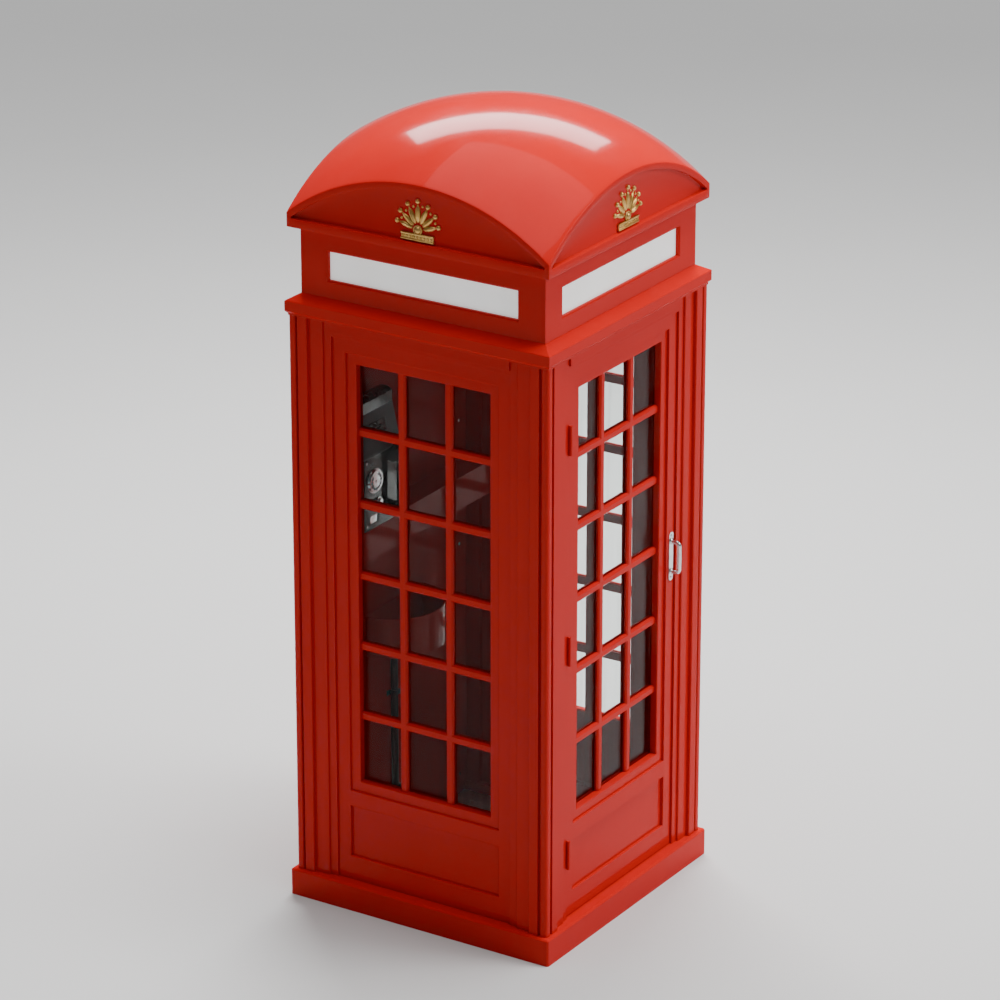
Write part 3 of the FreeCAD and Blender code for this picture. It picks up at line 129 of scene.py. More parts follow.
def make_soft_edges():
    """Rounds every hard edge a little, and finds the edges: a mask that is 1 on an arris."""
    tree, given, result = shader_group(
        "Soft edges", [("Radius", "value", 1.5 * MM)], [("Normal", "vector"), ("Edge", "value")])
    rounded = shade(tree, "ShaderNodeBevel", {"Radius": given.outputs["Radius"]}, samples=4)
    flat = shade(tree, "ShaderNodeNewGeometry").outputs["True Normal"]
    facing = shade(tree, "ShaderNodeVectorMath", {0: rounded.outputs[0], 1: flat},
                   operation="DOT_PRODUCT").outputs["Value"]
    tree.links.new(rounded.outputs[0], result.inputs["Normal"])
    tree.links.new(ranged(tree, facing, 0.998, 0.9), result.inputs["Edge"])
    return tree


def make_lying_dust():
    """Fine dust that lies on faces that look up, in uneven drifts."""
    tree, given, result = shader_group(
        "Lying dust", [("Amount", "value", 0.4)], [("Dust", "value")])
    normal = shade(tree, "ShaderNodeNewGeometry").outputs["Normal"]
    up = shade(tree, "ShaderNodeSeparateXYZ", {0: normal}).outputs["Z"]
    drift = noise_of(tree, stretched(tree, (9, 9, 9)), 1.0, 4.0, 0.6)
    lying = math_of(tree, "MULTIPLY", ranged(tree, up, 0.35, 0.98), ranged(tree, drift, 0.35, 0.75))
    tree.links.new(math_of(tree, "MULTIPLY", lying, given.outputs["Amount"]),
                   result.inputs["Dust"])
    return tree


def make_enamel():
    """Brushed and flowed gloss paint: uneven depth, faint rain streaks, lap marks and skin."""
    tree, given, result = shader_group(
        "Gloss enamel",
        [("Colour", "colour", (0.5, 0.02, 0.01, 1)),
         ("Deep Colour", "colour", (0.4, 0.01, 0.01, 1)),
         ("Faded Colour", "colour", (0.6, 0.05, 0.03, 1)), ("Streaks", "value", 0.3),
         ("Roughness", "value", 0.25)],
        [("Colour", "colour"), ("Roughness", "value"), ("Height", "value")])
    patches = noise_of(tree, stretched(tree, (1, 1, 1)), 2.6, 3.0, 0.55)
    depth = ranged(tree, patches, 0.35, 0.7)
    streaks = noise_of(tree, stretched(tree, (26, 26, 0.9)), 1.0, 4.0, 0.65)
    streak = math_of(tree, "MULTIPLY", ranged(tree, streaks, 0.5, 0.78), given.outputs["Streaks"])
    base = blend_of(tree, depth, given.outputs["Deep Colour"], given.outputs["Colour"])
    colour = blend_of(tree, streak, base, given.outputs["Faded Colour"])
    skin = noise_of(tree, stretched(tree, (1, 1, 1)), 240.0, 2.0)
    flow = noise_of(tree, stretched(tree, (38, 38, 16)), 1.0, 2.0)
    pits = noise_of(tree, stretched(tree, (1, 1, 1)), 70.0, 3.0, 0.6)
    sunk = ranged(tree, pits, 0.7, 0.82, 0.0, -0.3)
    height = math_of(tree, "ADD", math_of(tree, "MULTIPLY", skin, 0.12),
                     math_of(tree, "ADD", math_of(tree, "MULTIPLY", flow, 0.5), sunk))
    rubbing = noise_of(tree, stretched(tree, (1, 1, 1)), 14.0, 4.0)
    rubbed = ranged(tree, rubbing, 0.3, 0.8, -0.03, 0.05)
    rough = math_of(tree, "ADD", given.outputs["Roughness"], rubbed)
    tree.links.new(colour, result.inputs["Colour"])
    tree.links.new(math_of(tree, "ADD", rough, math_of(tree, "MULTIPLY", streak, 0.2)),
                   result.inputs["Roughness"])
    tree.links.new(height, result.inputs["Height"])
    return tree


def make_timber_grain():
    """Grain and brush marks that run along the local Z of the given point."""
    tree, given, result = shader_group(
        "Painted grain", [("Point", "vector", (0, 0, 0))], [("Height", "value"), ("Mask", "value")])
    along = shade(tree, "ShaderNodeMapping", {"Vector": given.outputs["Point"],
                                              "Scale": (60, 60, 2.2)}).outputs["Vector"]
    fibres = noise_of(tree, along, 1.6, 5.0, 0.6, 0.6)
    brushed = shade(tree, "ShaderNodeMapping", {"Vector": given.outputs["Point"],
                                                "Scale": (210, 210, 5)}).outputs["Vector"]
    marks = noise_of(tree, brushed, 1.0, 2.0)
    height = math_of(tree, "ADD", math_of(tree, "MULTIPLY", fibres, 0.7),
                     math_of(tree, "MULTIPLY", marks, 0.3))
    tree.links.new(height, result.inputs["Height"])
    tree.links.new(ranged(tree, fibres, 0.4, 0.65), result.inputs["Mask"])
    return tree


def make_rubbed_metal():
    """Polished metal that hands have rubbed: hairline scratches, and dull smears."""
    tree, given, result = shader_group(
        "Rubbed metal",
        [("Bright Colour", "colour", (0.8, 0.8, 0.8, 1)),
         ("Dull Colour", "colour", (0.5, 0.5, 0.5, 1)),
         ("Roughness", "value", 0.1), ("Hairlines", "value", 0.5)],
        [("Colour", "colour"), ("Roughness", "value"), ("Height", "value")])
    smears = noise_of(tree, stretched(tree, (1, 1, 1)), 45.0, 4.0, 0.6)
    dull = ranged(tree, smears, 0.45, 0.75)
    fine = noise_of(tree, stretched(tree, (900, 900, 40)), 1.0, 2.0)
    colour = blend_of(tree, dull, given.outputs["Bright Colour"], given.outputs["Dull Colour"])
    rough = math_of(tree, "ADD", given.outputs["Roughness"], math_of(tree, "MULTIPLY", dull, 0.14))
    tree.links.new(colour, result.inputs["Colour"])
    tree.links.new(rough, result.inputs["Roughness"])
    tree.links.new(math_of(tree, "MULTIPLY", fine, given.outputs["Hairlines"]),
                   result.inputs["Height"])
    return tree


def make_finger_marks():
    """Greasy smears and specks on a moulded or glazed surface."""
    tree, given, result = shader_group(
        "Finger marks", [("Roughness", "value", 0.15), ("Marks", "value", 0.2)],
        [("Roughness", "value"), ("Mask", "value"), ("Height", "value")])
    smears = noise_of(tree, stretched(tree, (1, 1, 0.6)), 32.0, 5.0, 0.65, 0.8)
    mask = ranged(tree, smears, 0.5, 0.78)
    specks = noise_of(tree, stretched(tree, (1, 1, 1)), 520.0, 1.0)
    rough = math_of(tree, "ADD", given.outputs["Roughness"],
                    math_of(tree, "MULTIPLY", mask, given.outputs["Marks"]))
    tree.links.new(rough, result.inputs["Roughness"])
    tree.links.new(mask, result.inputs["Mask"])
    tree.links.new(specks, result.inputs["Height"])
    return tree


SOFT_EDGES = make_soft_edges()
LYING_DUST = make_lying_dust()
ENAMEL = make_enamel()
TIMBER_GRAIN = make_timber_grain()
RUBBED_METAL = make_rubbed_metal()
FINGER_MARKS = make_finger_marks()


def effect(tree, group, **inputs):
    """Place a shared effect in a material; an underscore in a name stands for a space."""
    named = {name.replace("_", " "): value for name, value in inputs.items()}
    return shade(tree, "ShaderNodeGroup", named, node_tree=group)


def new_material(name, **fixed):
    """A material whose shader has its plain values set on its own sockets."""
    made = bpy.data.materials.new(name)
    made.use_nodes = True
    tree = made.node_tree
    shader = tree.nodes["Principled BSDF"]
    for label, value in fixed.items():
        shader.inputs[label.replace("_", " ")].default_value = value
    return made, tree, shader


def bumped(tree, shader, height, distance, strength=1.0, normal=None):
    inputs = {"Height": height, "Distance": distance, "Strength": strength}
    if normal is not None:
        inputs["Normal"] = normal
    bump = shade(tree, "ShaderNodeBump", inputs)
    tree.links.new(bump.outputs[0], shader.inputs["Normal"])


# ------------------------------------------------------------------------------------ finishes

PAINT_RED = (0.56, 0.0135, 0.010, 1)
PAINT_DEEP = (0.535, 0.012, 0.009, 1)
PAINT_FADED = (0.58, 0.018, 0.013, 1)
# A lighter red painted along every arris as a highlight.
PAINT_EDGE_HIGHLIGHT = (0.66, 0.032, 0.022, 1)
PRIMER = (0.20, 0.010, 0.007, 1)
DUST_GREY = (0.42, 0.36, 0.31, 1)


def red_enamel(name, grain_turn=None, gloss=1.0):
    """Deep gloss red over cast iron, or over timber whose grain is turned to lie along Z."""
    made, tree, shader = new_material(name, Coat_Weight=0.16 * gloss, Coat_Roughness=0.05,
                                      Coat_IOR=1.5, IOR=1.3, Specular_IOR_Level=0.05 * gloss)
    edges = effect(tree, SOFT_EDGES, Radius=1.6 * MM if grain_turn is None else 1.1 * MM)
    paint = effect(tree, ENAMEL, Colour=PAINT_RED, Deep_Colour=PAINT_DEEP,
                   Faded_Colour=PAINT_FADED, Streaks=0.07, Roughness=0.17)
    dust = effect(tree, LYING_DUST, Amount=0.012).outputs["Dust"]
    worn = ranged(tree, noise_of(tree, stretched(tree, (1, 1, 1)), 90.0, 5.0, 0.7), 0.64, 0.74)
    chips = math_of(tree, "MULTIPLY", math_of(tree, "MULTIPLY", worn, edges.outputs["Edge"]), 0.22)
    # Painted highlight: each arris is blended towards a lighter red that stands in for the light
    # the edges catch.
    thin = math_of(tree, "MULTIPLY", edges.outputs["Edge"], 0.6)
    colour = blend_of(tree, thin, paint.outputs["Colour"], PAINT_EDGE_HIGHLIGHT)
    colour = blend_of(tree, chips, colour, PRIMER)
    height = paint.outputs["Height"]
    if grain_turn is not None:
        grain = effect(tree, TIMBER_GRAIN, Point=stretched(tree, (1, 1, 1), grain_turn))
        colour = blend_of(tree, math_of(tree, "MULTIPLY", grain.outputs["Mask"], 0.35), colour,
                          PAINT_DEEP)
        height = math_of(tree, "ADD", height, grain.outputs["Height"])
    tree.links.new(blend_of(tree, dust, colour, DUST_GREY), shader.inputs["Base Color"])
    tree.links.new(math_of(tree, "ADD", paint.outputs["Roughness"],
                           math_of(tree, "MULTIPLY", dust, 0.5)), shader.inputs["Roughness"])
    bumped(tree, shader, height, 0.16 * MM, 0.4, edges.outputs["Normal"])
    return made


def window_glass():
    """Clear sheet glass, faintly green, with smears and rain streaks; the light it lets into the
    booth is dimmed to grey, a painted shade.
    """
    made, tree, shader = new_material("Clear sheet glass", Transmission_Weight=1.0, IOR=1.14)
    marks = effect(tree, FINGER_MARKS, Roughness=0.0, Marks=0.05)
    rain = noise_of(tree, stretched(tree, (30, 30, 1.4)), 1.0, 3.0)
    tint = blend_of(tree, ranged(tree, rain, 0.45, 0.8), (0.93, 0.96, 0.95, 1),
                    (0.8, 0.83, 0.82, 1))
    tree.links.new(tint, shader.inputs["Base Color"])
    tree.links.new(marks.outputs["Roughness"], shader.inputs["Roughness"])
    bumped(tree, shader, noise_of(tree, stretched(tree, (1, 1, 1)), 5.0, 1.0), 0.6 * MM, 0.25)
    path = shade(tree, "ShaderNodeLightPath")
    passing = math_of(tree, "MAXIMUM", path.outputs["Is Shadow Ray"],
                      path.outputs["Is Diffuse Ray"])
    # Painted shade: shadow and diffuse rays pass through a grey sheet that lets in under half the
    # light, darkening the inside of the booth.
    through = shade(tree, "ShaderNodeBsdfTransparent", {"Color": (0.45, 0.46, 0.46, 1)})
    both = shade(tree, "ShaderNodeMixShader", {0: passing, 1: shader.outputs[0],
                                               2: through.outputs[0]})
    tree.links.new(both.outputs[0], tree.nodes["Material Output"].inputs["Surface"])
    return made


def opal_glass(name, colour, shadow, roughness, lamp_or_painted_glow):
    """Milk-white flashed glass with a soft cloudiness and dust; it glows a little, as a lit lamp in
    the lamp bowl and as painted light on the sign.
    """
    made, tree, shader = new_material(name, Specular_IOR_Level=0.5, Coat_Weight=0.35,
                                      Coat_Roughness=0.08, Subsurface_Weight=0.12,
                                      Subsurface_Scale=8 * MM, Emission_Strength=lamp_or_painted_glow)
    cloud = noise_of(tree, stretched(tree, (1, 1, 1)), 7.0, 4.0)
    dust = effect(tree, LYING_DUST, Amount=0.3).outputs["Dust"]
    marks = effect(tree, FINGER_MARKS, Roughness=roughness, Marks=0.12)
    milky = blend_of(tree, ranged(tree, cloud, 0.3, 0.75), colour, shadow)
    tree.links.new(blend_of(tree, dust, milky, DUST_GREY), shader.inputs["Base Color"])
    tree.links.new(milky, shader.inputs["Emission Color"])
    tree.links.new(marks.outputs["Roughness"], shader.inputs["Roughness"])
    bumped(tree, shader, cloud, 0.3 * MM, 0.3)
    return made


def gold_leaf():
    """Gilding: leaf overlaps, rubbed high points with the red ground showing through."""
    made, tree, shader = new_material("Gold leaf", Metallic=1.0, Coat_Weight=0.15)
    edges = effect(tree, SOFT_EDGES, Radius=1.2 * MM)
    leaves = shade(tree, "ShaderNodeTexVoronoi", {"Vector": stretched(tree, (1, 1, 1)),
                                                  "Scale": 46.0}, distance="CHEBYCHEV")
    tone = ranged(tree, leaves.outputs["Color"], 0.1, 0.9)
    gold = blend_of(tree, tone, (0.78, 0.50, 0.17, 1), (0.62, 0.37, 0.10, 1))
    rub = ranged(tree, noise_of(tree, stretched(tree, (1, 1, 1)), 130.0, 4.0, 0.7), 0.58, 0.7)
    colour = blend_of(tree, math_of(tree, "MULTIPLY", rub, 0.35), gold, (0.33, 0.09, 0.03, 1))
    tree.links.new(colour, shader.inputs["Base Color"])
    tree.links.new(math_of(tree, "ADD", math_of(tree, "MULTIPLY", rub, 0.2), 0.36),
                   shader.inputs["Roughness"])
    crinkle = noise_of(tree, stretched(tree, (1, 1, 1)), 210.0, 3.0)
    bumped(tree, shader, crinkle, 0.5 * MM, 0.35, edges.outputs["Normal"])
    return made


def polished(name, bright, dull, roughness, hairlines=0.5):
    """Plated or bare metal with hairline scratches."""
    made, tree, shader = new_material(name, Metallic=1.0)
    edges = effect(tree, SOFT_EDGES, Radius=0.5 * MM)
    metal = effect(tree, RUBBED_METAL, Bright_Colour=bright, Dull_Colour=dull,
                   Roughness=roughness, Hairlines=hairlines)
    tree.links.new(metal.outputs["Colour"], shader.inputs["Base Color"])
    tree.links.new(metal.outputs["Roughness"], shader.inputs["Roughness"])
    bumped(tree, shader, metal.outputs["Height"], 0.04 * MM, 0.4, edges.outputs["Normal"])
    return made


def moulded(name, colour, worn, roughness, coat=0.4):
    """Moulded or stove-enamelled casing: smears, dust, and edges polished by use."""
    made, tree, shader = new_material(name, Coat_Weight=coat, Coat_Roughness=0.08)
    edges = effect(tree, SOFT_EDGES, Radius=1.4 * MM)
    marks = effect(tree, FINGER_MARKS, Roughness=roughness, Marks=0.22)
    dust = effect(tree, LYING_DUST, Amount=0.3).outputs["Dust"]
    patches = noise_of(tree, stretched(tree, (1, 1, 1)), 12.0, 3.0)
    rubbing = math_of(tree, "MULTIPLY", edges.outputs["Edge"], ranged(tree, patches, 0.45, 0.6))
    base = blend_of(tree, math_of(tree, "MAXIMUM", rubbing,
                                  math_of(tree, "MULTIPLY", marks.outputs["Mask"], 0.3)),
                    colour, worn)
    tree.links.new(blend_of(tree, dust, base, DUST_GREY), shader.inputs["Base Color"])
    tree.links.new(marks.outputs["Roughness"], shader.inputs["Roughness"])
    bumped(tree, shader, marks.outputs["Height"], 0.05 * MM, 0.4, edges.outputs["Normal"])
    return made


def trowelled_concrete():
    """Pale concrete floor: sand, small stones, pores and damp patches."""
    made, tree, shader = new_material("Trowelled concrete", Specular_IOR_Level=0.25)
    stones = shade(tree, "ShaderNodeTexVoronoi", {"Vector": stretched(tree, (1, 1, 1)),
                                                  "Scale": 85.0})
    sand = noise_of(tree, stretched(tree, (1, 1, 1)), 420.0, 3.0, 0.7)
    damp = noise_of(tree, stretched(tree, (1, 1, 1)), 4.5, 5.0, 0.6)
    pores = ranged(tree, noise_of(tree, stretched(tree, (1, 1, 1)), 95.0, 2.0), 0.7, 0.78)
    pale = blend_of(tree, ranged(tree, stones.outputs["Distance"], 0.05, 0.6),
                    (0.66, 0.64, 0.6, 1), (0.56, 0.55, 0.52, 1))
    sandy = blend_of(tree, math_of(tree, "MULTIPLY", sand, 0.4), pale, (0.72, 0.69, 0.63, 1))
    dark = blend_of(tree, ranged(tree, damp, 0.5, 0.8, 0.0, 0.5), sandy, (0.36, 0.34, 0.32, 1))
    tree.links.new(blend_of(tree, pores, dark, (0.22, 0.21, 0.2, 1)), shader.inputs["Base Color"])
    tree.links.new(ranged(tree, damp, 0.3, 0.8, 0.85, 0.55), shader.inputs["Roughness"])
    bumped(tree, shader, math_of(tree, "SUBTRACT", sand, pores), 0.8 * MM, 0.5)
    return made


def make_finishes():
    """One finish for each material slot of the booth."""
    return {
        "red_iron": red_enamel("Red enamel on iron"),
        "red_timber": red_enamel("Red enamel on boards", (0, 0, 0), gloss=0.25),
        "door_timber": red_enamel("Red enamel on stiles", (0, 0, 0)),
        "floor_concrete": trowelled_concrete(),
        "clear_glass": window_glass(),
        "hinge_steel": red_enamel("Red enamel on steel"),
        # The sign's glow is painted light that brightens its white; no lamp stands behind it.
        "opal_glass": opal_glass("Opal sign glass", (0.86, 0.86, 0.85, 1), (0.80, 0.80, 0.78, 1),
                                 roughness=0.22, lamp_or_painted_glow=0.6),
        "retainer_metal": moulded("Red lead on angle frames", (0.3, 0.02, 0.014, 1),
                                  (0.16, 0.03, 0.02, 1), roughness=0.4),
        "gilt": gold_leaf(),
        "lamp_white": moulded("White lamp enamel", (0.74, 0.73, 0.7, 1), (0.6, 0.58, 0.54, 1),
                              roughness=0.3),
        "lamp_glass": opal_glass("Opal lamp glass", (0.9, 0.88, 0.82, 1), (0.82, 0.8, 0.74, 1),
                                 roughness=0.15, lamp_or_painted_glow=0.12),
        "conduit_black": moulded("Black conduit paint", (0.02, 0.02, 0.021, 1),
                                 (0.07, 0.065, 0.06, 1), roughness=0.42),
        "phone_black": moulded("Black phenolic", (0.008, 0.008, 0.009, 1), (0.03, 0.028, 0.026, 1),
                               roughness=0.16, coat=0.5),
        "phone_grey": moulded("Grey crackle enamel", (0.11, 0.114, 0.118, 1),
                              (0.19, 0.19, 0.19, 1), roughness=0.34, coat=0.15),
        "phone_black_metal": moulded("Black stoved steel", (0.012, 0.012, 0.013, 1),
                                     (0.08, 0.075, 0.07, 1), roughness=0.22, coat=0.3),
        "phone_chrome": polished("Phone chrome", (0.66, 0.67, 0.69, 1), (0.5, 0.5, 0.5, 1),
                                 roughness=0.1),
        "pull_chrome": polished("Pull chrome", (0.78, 0.79, 0.8, 1), (0.6, 0.6, 0.61, 1),
                                roughness=0.12, hairlines=0.8),
        "hook_grey": polished("Nickelled hook", (0.5, 0.49, 0.47, 1), (0.32, 0.31, 0.3, 1),
                              roughness=0.22),
    }


FINISHES = make_finishes()
RAIL_FINISH = red_enamel("Red enamel on rails", (0, QUARTER, 0))
RAILS = ("door_top_rail", "door_middle_rail", "door_bottom_rail", "telephone_shelf")

for node_name, cad_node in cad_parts.items():
    for place in cad_node.material_slots:
        place.material = FINISHES[place.material.name]
        if node_name in RAILS:
            place.material = RAIL_FINISH


# -------------------------------------------------------------------------------- mesh helpers

def finish_piece(mesh_build, name, body, slot, stands_for=(), sharp=32):
    """Turn a finished bmesh into a piece of the booth that rides on a body."""
    bmesh.ops.recalc_face_normals(mesh_build, faces=mesh_build.faces[:])
    mesh = bpy.data.meshes.new(name)
    mesh_build.to_mesh(mesh)
    mesh_build.free()
    mesh.shade_smooth()
    mesh.set_sharp_from_angle(angle=math.radians(sharp))
    mesh.materials.append(FINISHES[slot])
    made = bpy.data.objects.new(name, mesh)
    bpy.context.scene.collection.objects.link(made)
    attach(made, body)
    if stands_for:
        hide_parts(*stands_for)
    return made


def verts_of(result, key="geom"):
    return [item for item in result[key] if isinstance(item, bmesh.types.BMVert)]


def edges_of(result, key="geom"):
    return [item for item in result[key] if isinstance(item, bmesh.types.BMEdge)]


def everything(mesh_build):
    return mesh_build.verts[:] + mesh_build.edges[:] + mesh_build.faces[:]


def soften(mesh_build, edges, width, segments=2):
    bmesh.ops.bevel(mesh_build, geom=edges, offset=width, offset_type="OFFSET",
                    segments=segments, profile=0.5, affect="EDGES", material=-1,
                    clamp_overlap=True)


def hard_edges(mesh_build, angle=25):
    limit = math.radians(angle)
    return [edge for edge in mesh_build.edges
            if len(edge.link_faces) == 2 and edge.calc_face_angle(0) > limit]


def add_ball(mesh_build, radius, centre, shape=(1, 1, 1), turn=Matrix(), steps=16):
    place = Matrix.Translation(centre) @ turn @ Matrix.Diagonal((*shape, 1))
    return bmesh.ops.create_uvsphere(mesh_build, u_segments=steps, v_segments=steps // 2 + 2,
                                     radius=radius, matrix=place)["verts"]


def add_block(mesh_build, low, high, width=0.0):
    """A box between two corners, with its edges softened by a width."""
    size = high - low
    place = Matrix.Translation((low + high) / 2) @ Matrix.Diagonal((*size, 1))
    verts = bmesh.ops.create_cube(mesh_build, size=1, matrix=place)["verts"]
    if width:
        edges = {edge for vert in verts for edge in vert.link_edges}
        soften(mesh_build, list(edges), width)


def add_turning(mesh_build, outline, centre, axis, steps=40):
    """Turn an outline of (radius, height) corners about an axis through the centre."""
    along = axis.normalized()
    across = along.orthogonal().normalized()
    corners = [mesh_build.verts.new(centre + across * radius + along * height)
               for radius, height in outline]
    edges = [mesh_build.edges.new(pair) for pair in zip(corners, corners[1:])]
    bmesh.ops.spin(mesh_build, geom=corners + edges, cent=centre, axis=along,
                   angle=math.tau, steps=steps, use_merge=True)
    bmesh.ops.remove_doubles(mesh_build, verts=mesh_build.verts[:], dist=0.01 * MM)


def put_into(mesh_build, part, name):
    """Copy a finished part's mesh into a larger one."""
    copied = bpy.data.meshes.new(name)
    part.to_mesh(copied)
    part.free()
    mesh_build.from_mesh(copied)
    bpy.data.meshes.remove(copied)


# ------------------------------------------------------------------------------------- the roof

VAULT_STEPS = 88
SKIRT = 47 * MM
PEDIMENT_RIM = 17 * MM
PEDIMENT_LEDGE = 30 * MM
PEDIMENT_RECESS = 16 * MM
CASTING_ROUND = 1.6 * MM
FACE_SLACK = 0.2 * MM


def vault_levels():
    """The vault's half side, its sphere's radius and the level of the sphere's middle."""
    low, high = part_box("roof")
    rise = high.z - low.z - SKIRT
    reach = high.x * math.sqrt(2)
    radius = (reach ** 2 + rise ** 2) / (2 * rise)
    return high.x, radius, high.z - radius


def make_roof():
    """A sail vault over four arched pediments, each sunk inside a thin raised rim."""
    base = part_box("roof")[0].z
    half, radius, middle = vault_levels()
    inner = half - PEDIMENT_RIM
    ledge = base + PEDIMENT_LEDGE
    build = bmesh.new()
    bmesh.ops.create_grid(build, x_segments=VAULT_STEPS, y_segments=VAULT_STEPS, size=half)
    for axis in (Vector((1, 0, 0)), Vector((0, 1, 0))):
        for reach in (-inner, inner):
            bmesh.ops.bisect_plane(build, geom=everything(build), plane_co=axis * reach,
                                   plane_no=axis)
    for vert in build.verts:
        vert.co.z = middle + math.sqrt(radius ** 2 - vert.co.x ** 2 - vert.co.y ** 2)
    border = [edge for edge in build.edges if edge.is_boundary]
    for vert in verts_of(bmesh.ops.extrude_edge_only(build, edges=border)):
        vert.co.z = base
    bottom = [edge for edge in build.edges if edge.is_boundary]
    bmesh.ops.holes_fill(build, edges=bottom, sides=0)
    bmesh.ops.recalc_face_normals(build, faces=build.faces[:])
    walls = [face for face in build.faces if abs(face.normal.z) < 0.01]
    wall_parts = {part for face in walls for part in (*face.verts, *face.edges)}
    bmesh.ops.bisect_plane(build, geom=list(wall_parts) + walls,
                           plane_co=Vector((0, 0, ledge)), plane_no=Vector((0, 0, 1)))
    for outward in (Vector((0, -1, 0)), Vector((1, 0, 0)), Vector((0, 1, 0)), Vector((-1, 0, 0))):
        sink_pediment(build, outward, half, inner, ledge, radius - PEDIMENT_RIM, middle)
    soften(build, hard_edges(build), CASTING_ROUND)
    finish_piece(build, "roof_casting", "kiosk", "red_iron", ["roof"])


def sink_pediment(build, outward, half, inner, ledge, radius, middle):
    """Cut one wall along the inner arch and push the field inside it back."""
    sideways = Vector((-outward.y, outward.x, 0))

    def on_wall(point):
        return abs(point.dot(outward) - half) < FACE_SLACK and point.z > ledge - FACE_SLACK

    def in_field(point):
        return abs(point.dot(sideways)) < inner + FACE_SLACK

    posts = [edge for edge in build.edges
             if all(on_wall(vert.co) and in_field(vert.co) for vert in edge.verts)
             and abs((edge.verts[0].co - edge.verts[1].co).dot(sideways)) < FACE_SLACK]
    cut = bmesh.ops.subdivide_edges(build, edges=posts, cuts=1)
    for vert in verts_of(cut, "geom_inner"):
        across = vert.co.dot(sideways)
        vert.co.z = middle + math.sqrt(radius ** 2 - half ** 2 - across ** 2)
    field = []
    for face in build.faces:
        centre = face.calc_center_median()
        if not (on_wall(centre) and in_field(centre)):
            continue
        across = centre.dot(sideways)
        arch = middle + math.sqrt(radius ** 2 - half ** 2 - across ** 2)
        if ledge < centre.z < arch:
            field.append(face)
    pushed = bmesh.ops.extrude_face_region(build, geom=field)
    bmesh.ops.translate(build, verts=verts_of(pushed), vec=-outward * PEDIMENT_RECESS)
    left = [face for face in field if face.is_valid]
    bmesh.ops.delete(build, geom=left, context="FACES_ONLY")


# -------------------------------------------------------------------------------- the gilt fans

FAN_RIBS = 7
FAN_TURN = math.radians(25)
FAN_REACH = 95 * MM
FAN_SIDE_REACH = 80 * MM
FAN_HEART_RISE = 34 * MM
FAN_BAND_HALF = 60 * MM
FAN_BAND_HEIGHT = 23 * MM
FAN_FILLET = 2.6 * MM
FAN_PEARLS = 9


def add_fan(build, wall, heart):
    """A fan of seven leaves with ball tips, over a beaded band, against a wall that faces -Y."""
    band_low = heart - FAN_HEART_RISE
    band_high = band_low + FAN_BAND_HEIGHT
    add_block(build, Vector((-FAN_BAND_HALF, wall - 6 * MM, band_low)),
              Vector((FAN_BAND_HALF, wall + MM, band_high)), 1.5 * MM)
    end = FAN_BAND_HALF + 1.5 * MM
    for level in (band_low + FAN_FILLET, band_high - FAN_FILLET):
        add_block(build, Vector((-end, wall - 8.5 * MM, level - FAN_FILLET)),
                  Vector((end, wall, level + FAN_FILLET)), 1.2 * MM)
    for number in range(FAN_PEARLS):
        across = (number / (FAN_PEARLS - 1) - 0.5) * (FAN_BAND_HALF - 7 * MM) * 2
        add_ball(build, 4.4 * MM, Vector((across, wall - 5.5 * MM, (band_low + band_high) / 2)),
                 steps=12)
    centre = Vector((0, wall, heart))
    add_ball(build, 13 * MM, centre, (1, 0.85, 1))
    add_turning(build, [(13 * MM, 0.0), (16 * MM, 0.0), (17 * MM, 2 * MM), (16 * MM, 4.5 * MM),
                        (13 * MM, 5 * MM), (13 * MM, 0.0)], centre, Vector((0, -1, 0)), 28)
    for number in range(FAN_RIBS):
        from_middle = (number - (FAN_RIBS - 1) / 2) / ((FAN_RIBS - 1) / 2)
        lean = Matrix.Rotation(from_middle * FAN_TURN * (FAN_RIBS - 1) / 2, 4, "Y")
        reach = FAN_REACH + (FAN_SIDE_REACH - FAN_REACH) * abs(from_middle)
        away = lean @ Vector((0, 0, 1))
        add_ball(build, reach * 0.30, centre + away * reach * 0.55, (0.36, 0.26, 1), lean, 20)
        add_ball(build, reach * 0.31, centre + away * reach * 0.55, (0.09, 0.33, 1), lean, 12)
        add_ball(build, 3.4 * MM, centre + away * (reach - 12 * MM), (1, 1, 0.6), lean, 12)
        add_ball(build, 8.6 * MM, centre + away * reach, (1, 0.95, 1), lean)
        if number < FAN_RIBS - 1:
            between = Matrix.Rotation(FAN_TURN / 2, 4, "Y") @ away
            add_ball(build, 4.4 * MM, centre + between * reach * 0.86, (1, 0.9, 1), steps=12)


def make_fans():
    """One fan on each of the four pediments."""
    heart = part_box("pediment_ornaments")[0].z + FAN_HEART_RISE
    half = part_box("roof")[1].x
    build = bmesh.new()
    for quarter in range(4):
        fan = bmesh.new()
        add_fan(fan, PEDIMENT_RECESS - half, heart)
        bmesh.ops.rotate(fan, verts=fan.verts[:], cent=Vector(),
                         matrix=Matrix.Rotation(quarter * QUARTER, 3, "Z"))
        put_into(build, fan, "fan_copy")
    finish_piece(build, "gilt_fans", "kiosk", "gilt", ["pediment_ornaments"], 45)


# --------------------------------------------------------------------------------- the door pull

# each foot from the plate outwards: how far the ring is drawn, and by how much it is then scaled
PULL_FOOT = ((2.2 * MM, 1.0), (1.2 * MM, 0.93), (1.6 * MM, 0.78), (3.0 * MM, 0.85))
PULL_FOOT_SPREAD = 1.55
PULL_NECK = 1.046
PULL_SWELL = 1.05
# the grip from one bend to the other: a share of its length, and the ring's scale after it
PULL_GRIP = ((0.12, 1.0), (0.18, PULL_SWELL), (0.2, PULL_SWELL), (0.2, 1 / PULL_SWELL),
             (0.18, 1 / PULL_SWELL), (0.12, 1.0))
BEND_STEPS = 10


